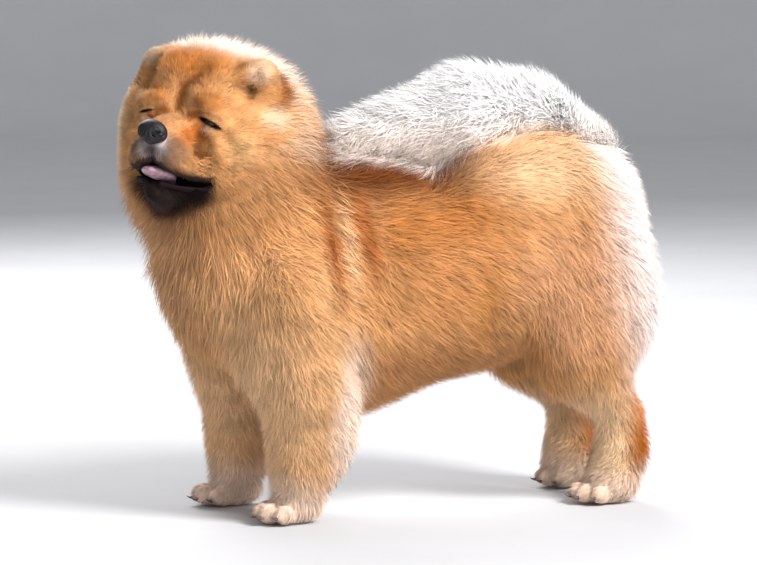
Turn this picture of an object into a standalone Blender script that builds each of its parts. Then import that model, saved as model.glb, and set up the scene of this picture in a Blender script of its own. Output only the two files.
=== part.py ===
# A chow chow standing square, life size, with its head turned to its left and its tail laid over its back.
# Metres, +Z up, the nose towards -Y and the animal's left side towards +X. The floor is z = 0.

import math
from collections import namedtuple

import bmesh
import bpy
import numpy as np
from mathutils import Euler, Matrix, Vector

# Driving sizes
GAP = 0.0003                     # space kept between two neighbouring nodes
CORE_SHARE = 0.5                 # under long coat the solid core ends this share of its depth below the tips
SHORT_COAT = 0.018               # coat no deeper than this has no locks, so the solid goes out to its tips
LONG_COAT = 0.036                # from this depth on the core is down at its full share
HEAD_PLACE = (0.015, -0.306, 0.589)
HEAD_YAW = 45.0                  # turned towards the animal's left
HEAD_PITCH = -10.0               # nose up
HEAD_ROLL = 8.5                  # left ear lower
EYE_PLACE = (0.0475, -0.0675, -0.0190)      # in the head's frame, the left one
EYE_RADIUS = 0.0115
LID_THICKNESS = 0.0035
NOSE_PLACE = (0.0, -0.148, -0.052)
EAR_PLACE = (0.082, -0.016, 0.050)
EAR_TURN = (18.0, 18.0, 20.0)

FACE_CENTRE = (0.0, -0.070, -0.020)         # the face's short hair ends on an oval round this
FACE_RADII = (0.126, 0.096, 0.116)
FACE_COAT = 0.012

# A form is one rounded mass: a ball with three radii and a turn, or a limb that tapers from one ball to another.
# coat is how deep the fur on it is, blend is how softly it runs into the forms before it in its list,
# and a hollow form is pressed into them instead of added.
Form = namedtuple("Form", "kind a b turn coat blend hollow")


def ball(centre, radii, coat=0.0, turn=(0.0, 0.0, 0.0), blend=0.04, hollow=False):
    matrix = Euler([math.radians(angle) for angle in turn]).to_matrix()
    return Form("ball", np.array(centre, float), np.array(radii, float), np.array(matrix), coat, blend, hollow)


def limb(start, end, start_radius, end_radius, coat=0.0, blend=0.04, hollow=False):
    ends = np.array([start, end], float)
    return Form("limb", ends, np.array([start_radius, end_radius]), None, coat, blend, hollow)


def both_sides(form):
    """The form and its mirror image across x = 0."""
    flip = np.array([-1.0, 1.0, 1.0])
    if form.kind == "ball":
        mirror = np.diag(flip)
        return [form, form._replace(a=form.a * flip, turn=mirror @ form.turn @ mirror)]
    return [form, form._replace(a=form.a * flip)]


HEAD_MATRIX = Matrix.Translation(HEAD_PLACE) @ (
    Matrix.Rotation(math.radians(HEAD_YAW), 4, "Z")
    @ Matrix.Rotation(math.radians(HEAD_PITCH), 4, "X")
    @ Matrix.Rotation(math.radians(HEAD_ROLL), 4, "Y")
)


def moved(form, matrix):
    """The form carried by a matrix that turns and shifts."""
    turn = np.array(matrix.to_3x3())
    shift = np.array(matrix.translation)
    if form.kind == "ball":
        return form._replace(a=turn @ form.a + shift, turn=turn @ form.turn)
    return form._replace(a=form.a @ turn.T + shift)


def on_head(form):
    """A form given in the head's own frame, moved to where the head is."""
    return moved(form, HEAD_MATRIX)


def distance_to(form, points):
    if form.kind == "ball":
        local = (points - form.a) @ form.turn
        near = np.linalg.norm(local / form.b, axis=1)
        slope = np.linalg.norm(local / form.b**2, axis=1)
        return near * (near - 1.0) / np.maximum(slope, 1e-9)
    along = form.a[1] - form.a[0]
    share = np.clip((points - form.a[0]) @ along / (along @ along), 0.0, 1.0)
    radius = form.b[0] + share * (form.b[1] - form.b[0])
    return np.linalg.norm(points - form.a[0] - share[:, None] * along, axis=1) - radius


def short_faced(points, coat):
    """The coat's depth once the short hair of the face is allowed for."""
    local = (points - np.array(HEAD_MATRIX.translation)) @ np.array(HEAD_MATRIX.to_3x3())
    away = np.linalg.norm((local - FACE_CENTRE) / FACE_RADII, axis=1)
    share = np.clip((away - 0.9) / 0.6, 0.0, 1.0)
    return coat * share + np.minimum(coat, FACE_COAT) * (1.0 - share)


def field(forms, points):
    """Distance to the blended outside of the coat, and the coat's depth there."""
    away = distance_to(forms[0], points)
    coat = np.full(len(points), forms[0].coat)
    for form in forms[1:]:
        other = distance_to(form, points)
        if form.hollow:
            keep = np.clip(0.5 + 0.5 * (away + other) / form.blend, 0.0, 1.0)
            away = away * keep - other * (1.0 - keep) + form.blend * keep * (1.0 - keep)
            continue
        keep = np.clip(0.5 + 0.5 * (other - away) / form.blend, 0.0, 1.0)
        away = other * (1.0 - keep) + away * keep - form.blend * keep * (1.0 - keep)
        coat = form.coat * (1.0 - keep) + coat * keep
    return away, short_faced(points, coat)


# The trunk, in the animal's frame
TRUNK = [
    ball((0.0, 0.020, 0.335), (0.155, 0.270, 0.160), coat=0.055),
    ball((0.0, -0.100, 0.318), (0.148, 0.170, 0.190), coat=0.060, blend=0.06),
    ball((-0.005, -0.255, 0.350), (0.130, 0.125, 0.145), coat=0.075, blend=0.06),
    ball((0.0, 0.215, 0.395), (0.148, 0.165, 0.150), coat=0.055, blend=0.06),
    ball((0.0, -0.050, 0.400), (0.115, 0.150, 0.125), coat=0.060, blend=0.03),
    ball((0.0, 0.272, 0.425), (0.120, 0.118, 0.118), coat=0.055, blend=0.04),
]
BREECHES = both_sides(ball((0.066, 0.310, 0.325), (0.076, 0.076, 0.130), coat=0.085, turn=(12, 0, 0), blend=0.05))
THIGHS = both_sides(ball((0.088, 0.265, 0.290), (0.078, 0.110, 0.150), coat=0.050, turn=(-14, 0, 0), blend=0.04))
NECK = [
    limb((0.0, -0.170, 0.410), (0.000, -0.265, 0.550), 0.120, 0.120, coat=0.085, blend=0.07),
    on_head(ball((0.016, 0.050, -0.030), (0.150, 0.104, 0.142), coat=0.090, blend=0.05)),
    ball((0.004, -0.303, 0.420), (0.104, 0.097, 0.120), coat=0.090, blend=0.05),
]


def front_leg(side, step):
    """side is 1 for the left leg, step moves the whole leg along the body."""
    return [
        ball((0.080 * side, -0.248 + step / 2, 0.262), (0.056, 0.056, 0.085), 0.060, (0, 0, 0), 0.04),
        limb((0.095 * side, -0.200 + step, 0.320), (0.104 * side, -0.192 + step, 0.200), 0.085, 0.070, 0.045, 0.05),
        limb((0.104 * side, -0.194 + step, 0.210), (0.102 * side, -0.196 + step, 0.075), 0.064, 0.050, 0.022, 0.03),
        ball((0.103 * side, -0.150 + step, 0.135), (0.040, 0.054, 0.095), 0.035, (-10, 0, 0), 0.03),
    ]


def hind_leg(side):
    return [
        limb((0.092 * side, 0.250, 0.230), (0.086 * side, 0.315, 0.135), 0.070, 0.040, 0.030, 0.03),
        limb((0.086 * side, 0.317, 0.130), (0.086 * side, 0.305, 0.045), 0.040, 0.036, 0.015, 0.02),
        ball((0.086 * side, 0.340, 0.080), (0.026, 0.034, 0.060), 0.025, (0, 0, 0), 0.02),
    ]


TOES = ((-0.028, -0.014), (-0.010, -0.030), (0.010, -0.030), (0.028, -0.014))


def paw(place, heading):
    """A round cat-like foot of four arched toes."""
    turn = Matrix.Rotation(math.radians(heading), 3, "Z")

    def at(x, y, z):
        return Vector(place) + turn @ Vector((x, y, z))

    forms = [ball(at(0.0, 0.014, 0.024), (0.038, 0.044, 0.030), 0.008, (0, 0, heading), 0.02)]
    for across, ahead in TOES:
        forms.append(ball(at(across, ahead, 0.019), (0.0135, 0.024, 0.020), 0.004, (0, 0, heading + across * 500), 0.006))
    return forms


PAWS = {
    "front_left": ((0.102, -0.212, 0.0), 4.0),
    "front_right": ((-0.100, -0.232, 0.0), -4.0),
    "hind_left": ((0.086, 0.292, 0.0), 4.0),
    "hind_right": ((-0.086, 0.314, 0.0), -4.0),
}

TAIL = [
    limb((0.0, 0.280, 0.505), (0.0, 0.200, 0.555), 0.064, 0.078, coat=0.060),
    limb((0.0, 0.195, 0.550), (0.000, 0.080, 0.560), 0.076, 0.084, coat=0.085, blend=0.03),
    limb((0.000, 0.080, 0.560), (0.000, -0.075, 0.535), 0.080, 0.040, coat=0.060, blend=0.03),
    limb((0.0, 0.250, 0.515), (0.0, 0.060, 0.520), 0.032, 0.030, coat=0.005, blend=0.02),
]

# The head, in its own frame: x to its left, -y ahead, z up
SKULL = [
    ball((0.0, 0.012, 0.014), (0.088, 0.088, 0.076), 0.020, blend=0.03),
    limb((0.0, -0.050, -0.030), (0.0, -0.124, -0.046), 0.030, 0.022, 0.003, blend=0.03),
    ball((0.0, -0.095, -0.066), (0.036, 0.052, 0.032), 0.003, blend=0.02),
]
FACE = (
    both_sides(ball((0.036, -0.044, 0.034), (0.042, 0.032, 0.044), 0.008, (0, -10, 0), 0.020))
    + both_sides(ball((0.045, -0.072, 0.000), (0.027, 0.016, 0.014), 0.005, (0, 18, 12), 0.012))
    + both_sides(ball((0.052, -0.050, -0.048), (0.030, 0.036, 0.028), 0.008, (0, 0, 0), 0.016))
    + both_sides(ball((0.066, -0.006, -0.055), (0.046, 0.058, 0.060), 0.020, (0, 0, 0), 0.03))
    + both_sides(ball((0.0185, -0.114, -0.072), (0.021, 0.033, 0.022), 0.002, (0, 0, 8), 0.008))
    + [limb((0.0, -0.035, -0.122), (0.0, -0.098, -0.122), 0.034, 0.019, 0.003, 0.016)]
    + both_sides(limb((0.044, -0.054, -0.112), (0.013, -0.112, -0.113), 0.008, 0.006, 0.001, 0.008))
    + [limb((0.0, -0.092, 0.060), (0.0, -0.088, -0.010), 0.005, 0.010, hollow=True, blend=0.014)]
)


MOUTH = on_head(ball((0.0, -0.092, -0.0990), (0.064, 0.084, 0.0125), turn=(-3, 0, 0)))


def head_forms():
    return [on_head(form) for form in SKULL + FACE]


def lids():
    return [on_head(form) for form in both_sides(ball(EYE_PLACE, (0.020, EYE_RADIUS + LID_THICKNESS, 0.0135), 0.0, (0, 24, 0), blend=0.006))]


def body_forms():
    forms = TRUNK + BREECHES + THIGHS + NECK
    forms = forms + front_leg(1, 0.0) + front_leg(-1, -0.020) + hind_leg(1) + hind_leg(-1)
    for place, heading in PAWS.values():
        forms += paw(place, heading)
    return forms


def linked(name, data):
    obj = bpy.data.objects.new(name, data)
    bpy.context.scene.collection.objects.link(obj)
    return obj


def remove(*objects):
    for obj in objects:
        bpy.data.objects.remove(obj)


def apply_modifiers(obj):
    graph = bpy.context.evaluated_depsgraph_get()
    data = bpy.data.meshes.new_from_object(obj.evaluated_get(graph))
    obj.modifiers.clear()
    obj.data = data


def base_mesh(name, forms, voxel):
    """The forms as overlapping balls and limbs, fused by a voxel remesh."""
    mesh = bmesh.new()
    for form in forms:
        if form.hollow:
            continue
        if form.kind == "ball":
            place = Matrix.Translation(Vector(form.a)) @ Matrix(form.turn.tolist()).to_4x4()
            place = place @ Matrix.Diagonal((*form.b, 1.0))
            bmesh.ops.create_uvsphere(mesh, u_segments=20, v_segments=12, radius=1.0, matrix=place)
            continue
        along = Vector(form.a[1] - form.a[0])
        turn = along.to_track_quat("Z", "Y").to_matrix().to_4x4()
        bmesh.ops.create_cone(mesh, cap_ends=True, segments=20, radius1=form.b[0], radius2=form.b[1],
                              depth=along.length, matrix=Matrix.Translation(Vector(form.a[0]) + along / 2) @ turn)
        for centre, radius in zip(form.a, form.b):
            bmesh.ops.create_uvsphere(mesh, u_segments=20, v_segments=12, radius=radius,
                                      matrix=Matrix.Translation(Vector(centre)))
    data = bpy.data.meshes.new(name)
    mesh.to_mesh(data)
    mesh.free()
    obj = linked(name, data)
    remesh = obj.modifiers.new("fuse", "REMESH")
    remesh.mode = "VOXEL"
    remesh.voxel_size = voxel
    apply_modifiers(obj)
    return obj


def sunk(coat, share):
    """How far below the tips a surface lies that is share of the way down the coat, where the coat is long."""
    return share * coat * np.clip((coat - SHORT_COAT) / (LONG_COAT - SHORT_COAT), 0.0, 1.0)


def slope_of(forms, points, share, level):
    step = 0.0004
    slope = np.empty_like(points)
    for axis in range(3):
        shift = np.zeros(3)
        shift[axis] = step
        away, coat = field(forms, points + shift)
        slope[:, axis] = (away + sunk(coat, share) - level) / step
    return slope


def pulled(forms, points, share, offset=0.0, steps=5):
    """The points moved onto the blended surface, share of the coat's depth below the tips."""
    for _ in range(steps):
        away, coat = field(forms, points)
        level = away + sunk(coat, share)
        slope = slope_of(forms, points, share, level)
        size = np.maximum((slope**2).sum(axis=1), 0.05)
        points = points - np.clip((level - offset) / size, -0.02, 0.02)[:, None] * slope
    return points


def points_of(obj):
    points = np.empty(len(obj.data.vertices) * 3)
    obj.data.vertices.foreach_get("co", points)
    return points.reshape(-1, 3)


def place_points(obj, points):
    obj.data.vertices.foreach_set("co", points.ravel())
    obj.data.update()


def thin_out(obj, triangles):
    reduce = obj.modifiers.new("fewer faces", "DECIMATE")
    obj.data.calc_loop_triangles()
    reduce.ratio = min(1.0, triangles / len(obj.data.loop_triangles))
    reduce.use_collapse_triangulate = True
    apply_modifiers(obj)


def rounded(name, forms, share, voxel, triangles, also=()):
    """A closed mesh of the forms. also is forms that shape the surface but reach it from a neighbour."""
    obj = base_mesh(name, forms, voxel)
    every = list(also) + list(forms)
    place_points(obj, pulled(every, points_of(obj), share))
    thin_out(obj, triangles)
    place_points(obj, pulled(every, points_of(obj), share, steps=2))
    return obj


def ellipsoid(name, form, grow=0.0, segments=30, rings=18):
    mesh = bmesh.new()
    place = Matrix.Translation(Vector(form.a)) @ Matrix(form.turn.tolist()).to_4x4()
    place = place @ Matrix.Diagonal((*(form.b + grow), 1.0))
    bmesh.ops.create_uvsphere(mesh, u_segments=segments, v_segments=rings, radius=1.0, matrix=place)
    data = bpy.data.meshes.new(name)
    mesh.to_mesh(data)
    mesh.free()
    return linked(name, data)


def arch(name, centre, radii, length, axis, grow=0.0):
    """A lying cylinder of oval section along X or Y."""
    mesh = bmesh.new()
    turn = Matrix.Rotation(math.radians(90.0), 4, "Y" if axis == "X" else "X")
    scale = [radii[0] + grow, radii[0] + grow, radii[1] + grow]
    scale["XY".index(axis)] = length / 2 + grow
    place = Matrix.Translation(centre) @ Matrix.Diagonal((*scale, 1.0)) @ turn
    bmesh.ops.create_cone(mesh, cap_ends=True, segments=40, radius1=1.0, radius2=1.0, depth=2.0, matrix=place)
    bmesh.ops.recalc_face_normals(mesh, faces=mesh.faces)
    data = bpy.data.meshes.new(name)
    mesh.to_mesh(data)
    mesh.free()
    return linked(name, data)


def copied(obj, name):
    twin = linked(name, obj.data.copy())
    return twin


def boolean(obj, tool, operation):
    change = obj.modifiers.new(operation.lower(), "BOOLEAN")
    change.operation = operation
    change.solver = "MANIFOLD"
    change.object = tool
    apply_modifiers(obj)


def keep_largest(obj):
    """Drops loose scraps and the walls of sealed hollows, leaving the one closed surface that holds the most."""
    mesh = bmesh.new()
    mesh.from_mesh(obj.data)
    left = set(mesh.faces)
    shells = []
    while left:
        shell = {left.pop()}
        edge = list(shell)
        while edge:
            face = edge.pop()
            for side in face.edges:
                for other in side.link_faces:
                    if other in left:
                        left.discard(other)
                        shell.add(other)
                        edge.append(other)
        shells.append(shell)

    def holds(shell):
        total = 0.0
        for face in shell:
            first = face.verts[0].co
            for one, two in zip(face.verts[1:-1], face.verts[2:]):
                total += first.dot(one.co.cross(two.co)) / 6.0
        return total

    shells.sort(key=holds, reverse=True)
    for shell in shells[1:]:
        bmesh.ops.delete(mesh, geom=list(shell), context="FACES")
    mesh.to_mesh(obj.data)
    mesh.free()


def part_off(name, rest, region, grown):
    """Cuts what lies inside region off rest into a node of its own, and leaves the gap round it."""
    node = copied(rest, name)
    boolean(node, region, "INTERSECT")
    boolean(rest, grown, "DIFFERENCE")
    keep_largest(node)
    remove(region, grown)
    return node


# The lie of the coat: a place, the way the hair lies there, and how far that holds
LIE = {
    "nape": ((0.0, -0.150, 0.620), (0.0, 0.60, -0.60), 0.10),
    "ruff below": ((0.0, -0.400, 0.440), (0.0, 0.0, -1.0), 0.10),
    "chest": ((0.0, -0.370, 0.330), (0.0, 0.15, -1.0), 0.12),
    "shoulder": ((0.150, -0.190, 0.330), (0.0, 0.45, -0.90), 0.11),
    "neck side": ((0.130, -0.230, 0.470), (0.0, 0.55, -0.80), 0.10),
    "back": ((0.0, 0.050, 0.490), (0.25, 1.0, -0.10), 0.12),
    "side": ((0.150, 0.050, 0.350), (0.0, 0.85, -0.55), 0.12),
    "belly": ((0.0, 0.050, 0.180), (0.0, 0.85, -0.40), 0.12),
    "rump": ((0.050, 0.330, 0.470), (0.15, 0.45, -0.90), 0.09),
    "thigh": ((0.160, 0.260, 0.300), (0.0, 0.35, -0.95), 0.10),
    "breeches": ((0.070, 0.390, 0.300), (0.0, 0.20, -1.0), 0.10),
    "elbow": ((0.110, -0.130, 0.150), (0.0, 0.35, -0.95), 0.08),
}


def body_lie(points):
    """The way the hair lies on the trunk and legs, alike on both sides."""
    side = np.where(points[:, :1] < 0.0, -1.0, 1.0)
    folded = np.abs(points[:, :1])
    folded = np.concatenate([folded, points[:, 1:]], axis=1)
    total = np.zeros_like(points)
    for place, way, reach in LIE.values():
        near = np.exp(-((folded - place) ** 2).sum(axis=1) / (2.0 * (reach * 0.6) ** 2)) + 1e-9
        total += near[:, None] * np.array(way)
    total[:, :1] *= side
    return total


def head_lie(points):
    """On the ruff the hair runs out from the face on every side, and back."""
    turn = np.array(HEAD_MATRIX.to_3x3())
    local = (points - np.array(HEAD_MATRIX.translation)) @ turn
    out = local * (1.0, 0.0, 1.0)
    out /= np.maximum(np.linalg.norm(out, axis=1), 0.03)[:, None]
    return (out + (0.0, 0.70, -0.25)) @ turn.T


def coat_lie(points):
    local = (points - np.array(HEAD_MATRIX.translation)) @ np.array(HEAD_MATRIX.to_3x3())
    away = np.linalg.norm((local - (0.0, 0.02, -0.02)) / (0.17, 0.15, 0.17), axis=1)
    share = np.clip((away - 0.85) / 0.5, 0.0, 1.0)[:, None]
    one, two = head_lie(points), body_lie(points)
    one = one / np.linalg.norm(one, axis=1)[:, None]
    two = two / np.linalg.norm(two, axis=1)[:, None]
    return one * (1.0 - share) + two * share


def tail_lie(points):
    """The hair runs up the root of the tail, then forward along the back, and parts to both sides."""
    root = np.clip((points[:, 1] - 0.230) / 0.050, 0.0, 1.0)
    way = np.zeros_like(points)
    way[:, 0] = points[:, 0] * 12.0
    way[:, 1] = -1.0 + 0.7 * root
    way[:, 2] = np.where(points[:, 2] > 0.57, 0.25, -0.45) * (1.0 - root) + root
    return way


# Along a lock, from root to tip: how far along, how deep in the coat, how wide and how thick
STATIONS = ((0.0, 0.74, 0.66, 0.80), (0.36, 0.34, 1.0, 1.0), (0.74, 0.10, 0.78, 0.70), (1.0, 0.0, 0.0, 0.0))


def unit(ways):
    return ways / np.maximum(np.linalg.norm(ways, axis=1), 1e-9)[:, None]


def make_locks(forms, roots, lie, lengths, widths, keeled=None, shallow=0.0):
    """One closed flat lock for each root. It lies along the coat and rises from inside the core out to the tips.
    A keeled lock also reaches down into the core along most of its length, a shallow one rises sooner."""
    centres = []
    ups = []
    sides = []
    coats = []
    points = roots
    before = 0.0
    for along, depth, _, _ in STATIONS:
        for _ in range(2):
            slope = unit(slope_of(forms, points, 0.0, field(forms, points)[0]))
            way = lie(points)
            way = unit(way - (way * slope).sum(axis=1)[:, None] * slope)
            points = points + way * (lengths * (along - before) / 2)[:, None]
        before = along
        points = pulled(forms, points, depth * (1.0 - 0.6 * shallow * (along > 0.0)), steps=4)
        away, coat = field(forms, points)
        slope = unit(slope_of(forms, points, 0.0, away))
        centres.append(points)
        ups.append(slope)
        sides.append(unit(np.cross(slope, way)))
        coats.append(coat)
    locks = []
    for index in range(len(roots)):
        corners = []
        deep = keeled is not None and keeled(np.array([centre[index] for centre in centres]))
        for station, (_, depth, wide, thick) in enumerate(STATIONS[:-1]):
            centre, up = centres[station][index], ups[station][index]
            across = sides[station][index] * widths[index] * wide / 2
            rise = up * max(coats[0][index], coats[1][index]) * 0.18 * thick
            down = centre - up * (max(0.0, CORE_SHARE - depth) * coats[station][index] + 0.009)
            corners += [centre + across - rise * 0.5, centre + rise, centre - across - rise * 0.5]
            if deep:
                corners.append(down)
        corners.append(centres[-1][index])
        locks.append(lock_mesh(corners, 4 if deep else 3))
    return locks


def lock_mesh(corners, around):
    """A closed triangulated body through three rings of corners and a tip."""
    faces = [tuple(range(around - 1, -1, -1))]
    for first in (0, around):
        for corner in range(around):
            after = (corner + 1) % around
            faces.append((first + corner, first + after, first + around + after, first + around + corner))
    last = 2 * around
    faces += [(last + corner, last + (corner + 1) % around, last + around) for corner in range(around)]
    data = bpy.data.meshes.new("lock")
    data.from_pydata([tuple(corner) for corner in corners], [], faces)
    mesh = bmesh.new()
    mesh.from_mesh(data)
    bmesh.ops.triangulate(mesh, faces=mesh.faces)
    bmesh.ops.recalc_face_normals(mesh, faces=mesh.faces)
    mesh.to_mesh(data)
    mesh.free()
    return linked("lock", data)


def spread(points, spacing, seed, rank=None):
    """Roots picked from points so that none has another within its spacing: in order of rank, else as seed sets it."""
    order = np.random.default_rng(seed).permutation(len(points))
    if rank is not None:
        order = order[np.argsort(rank[order], kind="stable")]
    chosen = np.zeros((0, 3))
    for index in order:
        if not len(chosen) or np.linalg.norm(chosen - points[index], axis=1).min() > spacing[index]:
            chosen = np.concatenate([chosen, points[index:index + 1]])
    return chosen


def join_locks(core, locks, kept):
    """One union of the core with all its locks, then the slivers that the crossings leave are thinned out."""
    group = bpy.data.collections.new("locks")
    for lock in locks:
        group.objects.link(lock)
    change = core.modifiers.new("locks", "BOOLEAN")
    change.operation = "UNION"
    change.operand_type = "COLLECTION"
    change.collection = group
    change.solver = "MANIFOLD"
    apply_modifiers(core)
    remove(*locks)
    bpy.data.collections.remove(group)
    core.data.calc_loop_triangles()
    thin_out(core, len(core.data.loop_triangles) * kept)


# Surfaces along which one node is parted from the next
HEAD_REGION = on_head(ball((0.0, -0.050, -0.020), (0.190, 0.125, 0.165)))
NECK_REGION = ball((0.0, -0.330, 0.560), (0.300, 0.200, 0.235))
TAIL_REGION = ball((0.0, 0.110, 0.767), (0.300, 0.360, 0.270))
FRONT_ARCH = ((0.105, -0.205, 0.080), (0.100, 0.165), 0.300)
HIND_ARCH = ((0.150, 0.310, 0.060), (0.150, 0.165), 0.300 - GAP)


def other_side(forms):
    return [both_sides(form)[1] for form in forms]


def ear_forms(side):
    place = Matrix.Translation(EAR_PLACE) @ Euler([math.radians(angle) for angle in EAR_TURN]).to_matrix().to_4x4()
    forms = [
        ball((0.0, 0.0, -0.014), (0.042, 0.024, 0.032), 0.0),
        ball((0.002, 0.0, 0.010), (0.029, 0.017, 0.025), 0.0, blend=0.020),
        ball((-0.003, -0.023, -0.003), (0.028, 0.019, 0.029), hollow=True, blend=0.006),
    ]
    forms = [moved(form, place) for form in forms]
    return [on_head(form) for form in (forms if side > 0 else other_side(forms))]


def nose_forms():
    x, y, z = NOSE_PLACE
    forms = (
        [ball((x, y, z), (0.0215, 0.015, 0.0175), 0.0)]
        + both_sides(ball((0.0115, y + 0.002, z - 0.003), (0.0105, 0.013, 0.0105), 0.0, blend=0.006))
        + both_sides(ball((0.0096, y - 0.014, z - 0.002), (0.0052, 0.0110, 0.0058), hollow=True, blend=0.002))
        + [limb((0.0, y - 0.013, z - 0.004), (0.0, y - 0.010, z - 0.020), 0.0012, 0.0012, hollow=True, blend=0.002)]
    )
    return [on_head(form) for form in forms]


def tongue_forms():
    return [on_head(form) for form in (
        limb((0.0, -0.060, -0.1090), (0.0, -0.112, -0.1060), 0.007, 0.006, 0.0),
        ball((0.0, -0.090, -0.1070), (0.0205, 0.044, 0.0075), 0.0, (-4, 0, 0), blend=0.004),
    )]


def seated(head, forms, name, voxel, triangles):
    """Makes a node of the forms and cuts its seat in the head, a gap wider."""
    node = rounded(name, forms, 0.0, voxel, triangles)
    tool = copied(node, "seat")
    place_points(tool, pulled(forms, points_of(tool), 0.0, offset=GAP * 1.5, steps=3))
    boolean(head, tool, "DIFFERENCE")
    remove(tool)
    return node


def cut_eye(head, side, name):
    """A round eye behind two lids, which part in a slanting slit."""
    place = Vector(EYE_PLACE)
    place.x *= side
    eye = on_head(ball(place, [EYE_RADIUS] * 3))
    slit = on_head(ball(place + Vector((0, -0.012, 0.0)), (0.0165, 0.012, 0.0036), turn=(0, 24 * side, 0)))
    node = ellipsoid(name, eye, segments=12, rings=8)
    for tool in (ellipsoid("socket", eye, GAP, 12, 8), ellipsoid("slit", slit, 0.0, 14, 8)):
        boolean(head, tool, "DIFFERENCE")
        remove(tool)
    return node


def block(name, low, high):
    mesh = bmesh.new()
    middle = (Vector(low) + Vector(high)) / 2
    place = Matrix.Translation(middle) @ Matrix.Diagonal((*(Vector(high) - Vector(low)), 1.0))
    bmesh.ops.create_cube(mesh, size=1.0, matrix=place)
    data = bpy.data.meshes.new(name)
    mesh.to_mesh(data)
    mesh.free()
    return linked(name, data)


def claws(name, place, heading):
    """The four blunt claws of a foot, each a bent cone in one mesh."""
    turn = Matrix.Rotation(math.radians(heading), 3, "Z")
    points = []
    faces = []
    for across, ahead in TOES:
        fan = Matrix.Rotation(math.radians(heading + across * 500), 3, "Z")
        root = Vector(place) + turn @ Vector((across, ahead, 0.0)) + fan @ Vector((0.0, -0.016, 0.0165))
        first = len(points)
        for ahead_of, radius, drop in ((0.0, 0.0046, 0.0), (0.0085, 0.0038, 0.0012)):
            for corner in range(4):
                angle = math.radians(90.0 * corner + 45.0)
                ring = Vector((radius * math.cos(angle), -ahead_of, radius * 1.25 * math.sin(angle) - drop))
                points.append(root + fan @ ring)
        points.append(root + fan @ Vector((0.0, -0.0135, -0.0050)))
        faces.append([first + corner for corner in range(3, -1, -1)])
        for corner in range(4):
            one, two = first + corner, first + (corner + 1) % 4
            faces.append([one, two, two + 4, one + 4])
            faces.append([one + 4, two + 4, first + 8])
    data = bpy.data.meshes.new(name)
    data.from_pydata(points, [], faces)
    mesh = bmesh.new()
    mesh.from_mesh(data)
    bmesh.ops.recalc_face_normals(mesh, faces=mesh.faces)
    mesh.to_mesh(data)
    mesh.free()
    return linked(name, data)


def seam_crossed(points):
    """Whether a lock through these points runs from one node into the next."""
    ahead = distance_to(HEAD_REGION, points) < 0.0
    near = distance_to(NECK_REGION, points) < 0.0
    return len(set(zip(ahead, near))) > 1 or bool((points[:, 2] < 0.24).any() and (points[:, 2] > 0.24).any())


def body_locks(seeds):
    """The locks of the ruff, trunk, thighs and breeches."""
    forms = body_forms()
    coat = field(forms, seeds)[1]
    local = (seeds - np.array(HEAD_MATRIX.translation)) @ np.array(HEAD_MATRIX.to_3x3())
    away = np.linalg.norm((local - FACE_CENTRE) / FACE_RADII, axis=1)
    ring = np.where(away < 1.28, 0, np.where(away < 2.2, 1, 2))
    between_legs = (np.abs(seeds[:, 0]) < 0.05) & (seeds[:, 2] < 0.25) & (np.abs(seeds[:, 1] - 0.06) > 0.16)
    inside_leg = (np.abs(seeds[:, 0]) < 0.09) & (seeds[:, 2] < 0.22) & (np.abs(seeds[:, 1] + 0.10) < 0.08)
    fit = (coat > np.choose(ring, (0.024, LONG_COAT * 0.85, LONG_COAT * 0.85))) & (seeds[:, 2] > 0.15)
    fit &= ~between_legs & ~inside_leg
    seeds, ring, away = seeds[fit], ring[fit], away[fit]
    roots = spread(seeds, np.choose(ring, (0.052, 0.068, 0.090)), 3, rank=np.where(ring == 0, away / 2.0, ring))
    coat = field(forms, roots)[1]
    long = np.clip((coat - 0.06) / 0.025, 0.0, 1.0)
    short = np.clip((0.26 - roots[:, 2]) / 0.08, 0.0, 1.0)
    local = (roots - np.array(HEAD_MATRIX.translation)) @ np.array(HEAD_MATRIX.to_3x3())
    ruff = np.linalg.norm((local - FACE_CENTRE) / FACE_RADII, axis=1) < 2.2
    long[ruff] = 1.0
    first = np.linalg.norm((local - FACE_CENTRE) / FACE_RADII, axis=1) < 1.28
    return make_locks(forms, roots, coat_lie, 0.180 - 0.035 * long - 0.085 * short, 0.130 - 0.030 * long - 0.060 * short,
                      seam_crossed, first.astype(float))


def make_head(face, locks):
    head = rounded("head", NECK + face, CORE_SHARE, 0.0045, 2700, also=TRUNK)
    near = [lock for lock in locks if distance_to(HEAD_REGION, points_of(lock)).min() < 0.01]
    join_locks(head, [copied(lock, "lock") for lock in near], 0.67)
    region = ellipsoid("head region", HEAD_REGION)
    boolean(head, region, "INTERSECT")
    mouth = ellipsoid("mouth", MOUTH, segments=28, rings=14)
    boolean(head, mouth, "DIFFERENCE")
    remove(region, mouth)
    for side, name in ((1, "left"), (-1, "right")):
        seated(head, ear_forms(side), "ear_" + name, 0.0025, 320)
        cut_eye(head, side, "eye_" + name)
    seated(head, nose_forms(), "nose", 0.0016, 420)
    seated(head, tongue_forms(), "tongue", 0.003, 160)
    keep_largest(head)
    return head


def make_body(body, locks):
    join_locks(body, locks, 0.67)
    grown = ellipsoid("head grown", HEAD_REGION, GAP)
    boolean(body, grown, "DIFFERENCE")
    remove(grown)
    part_off("neck", body, ellipsoid("r", NECK_REGION), ellipsoid("g", NECK_REGION, GAP))
    for side, name in ((1, "left"), (-1, "right")):
        for leg, (centre, radii, length), axis in (("foreleg_", FRONT_ARCH, "Y"), ("hind_leg_", HIND_ARCH, "X")):
            centre = (centre[0] * side, centre[1], centre[2])
            region = arch("r", centre, radii, length, axis)
            grown = arch("g", centre, radii, length, axis, GAP)
            finish_leg(part_off(leg + name, body, region, grown))
    grown = ellipsoid("tail grown", TAIL_REGION, GAP)
    boolean(body, grown, "DIFFERENCE")
    remove(grown)
    keep_largest(body)
    return body


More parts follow.
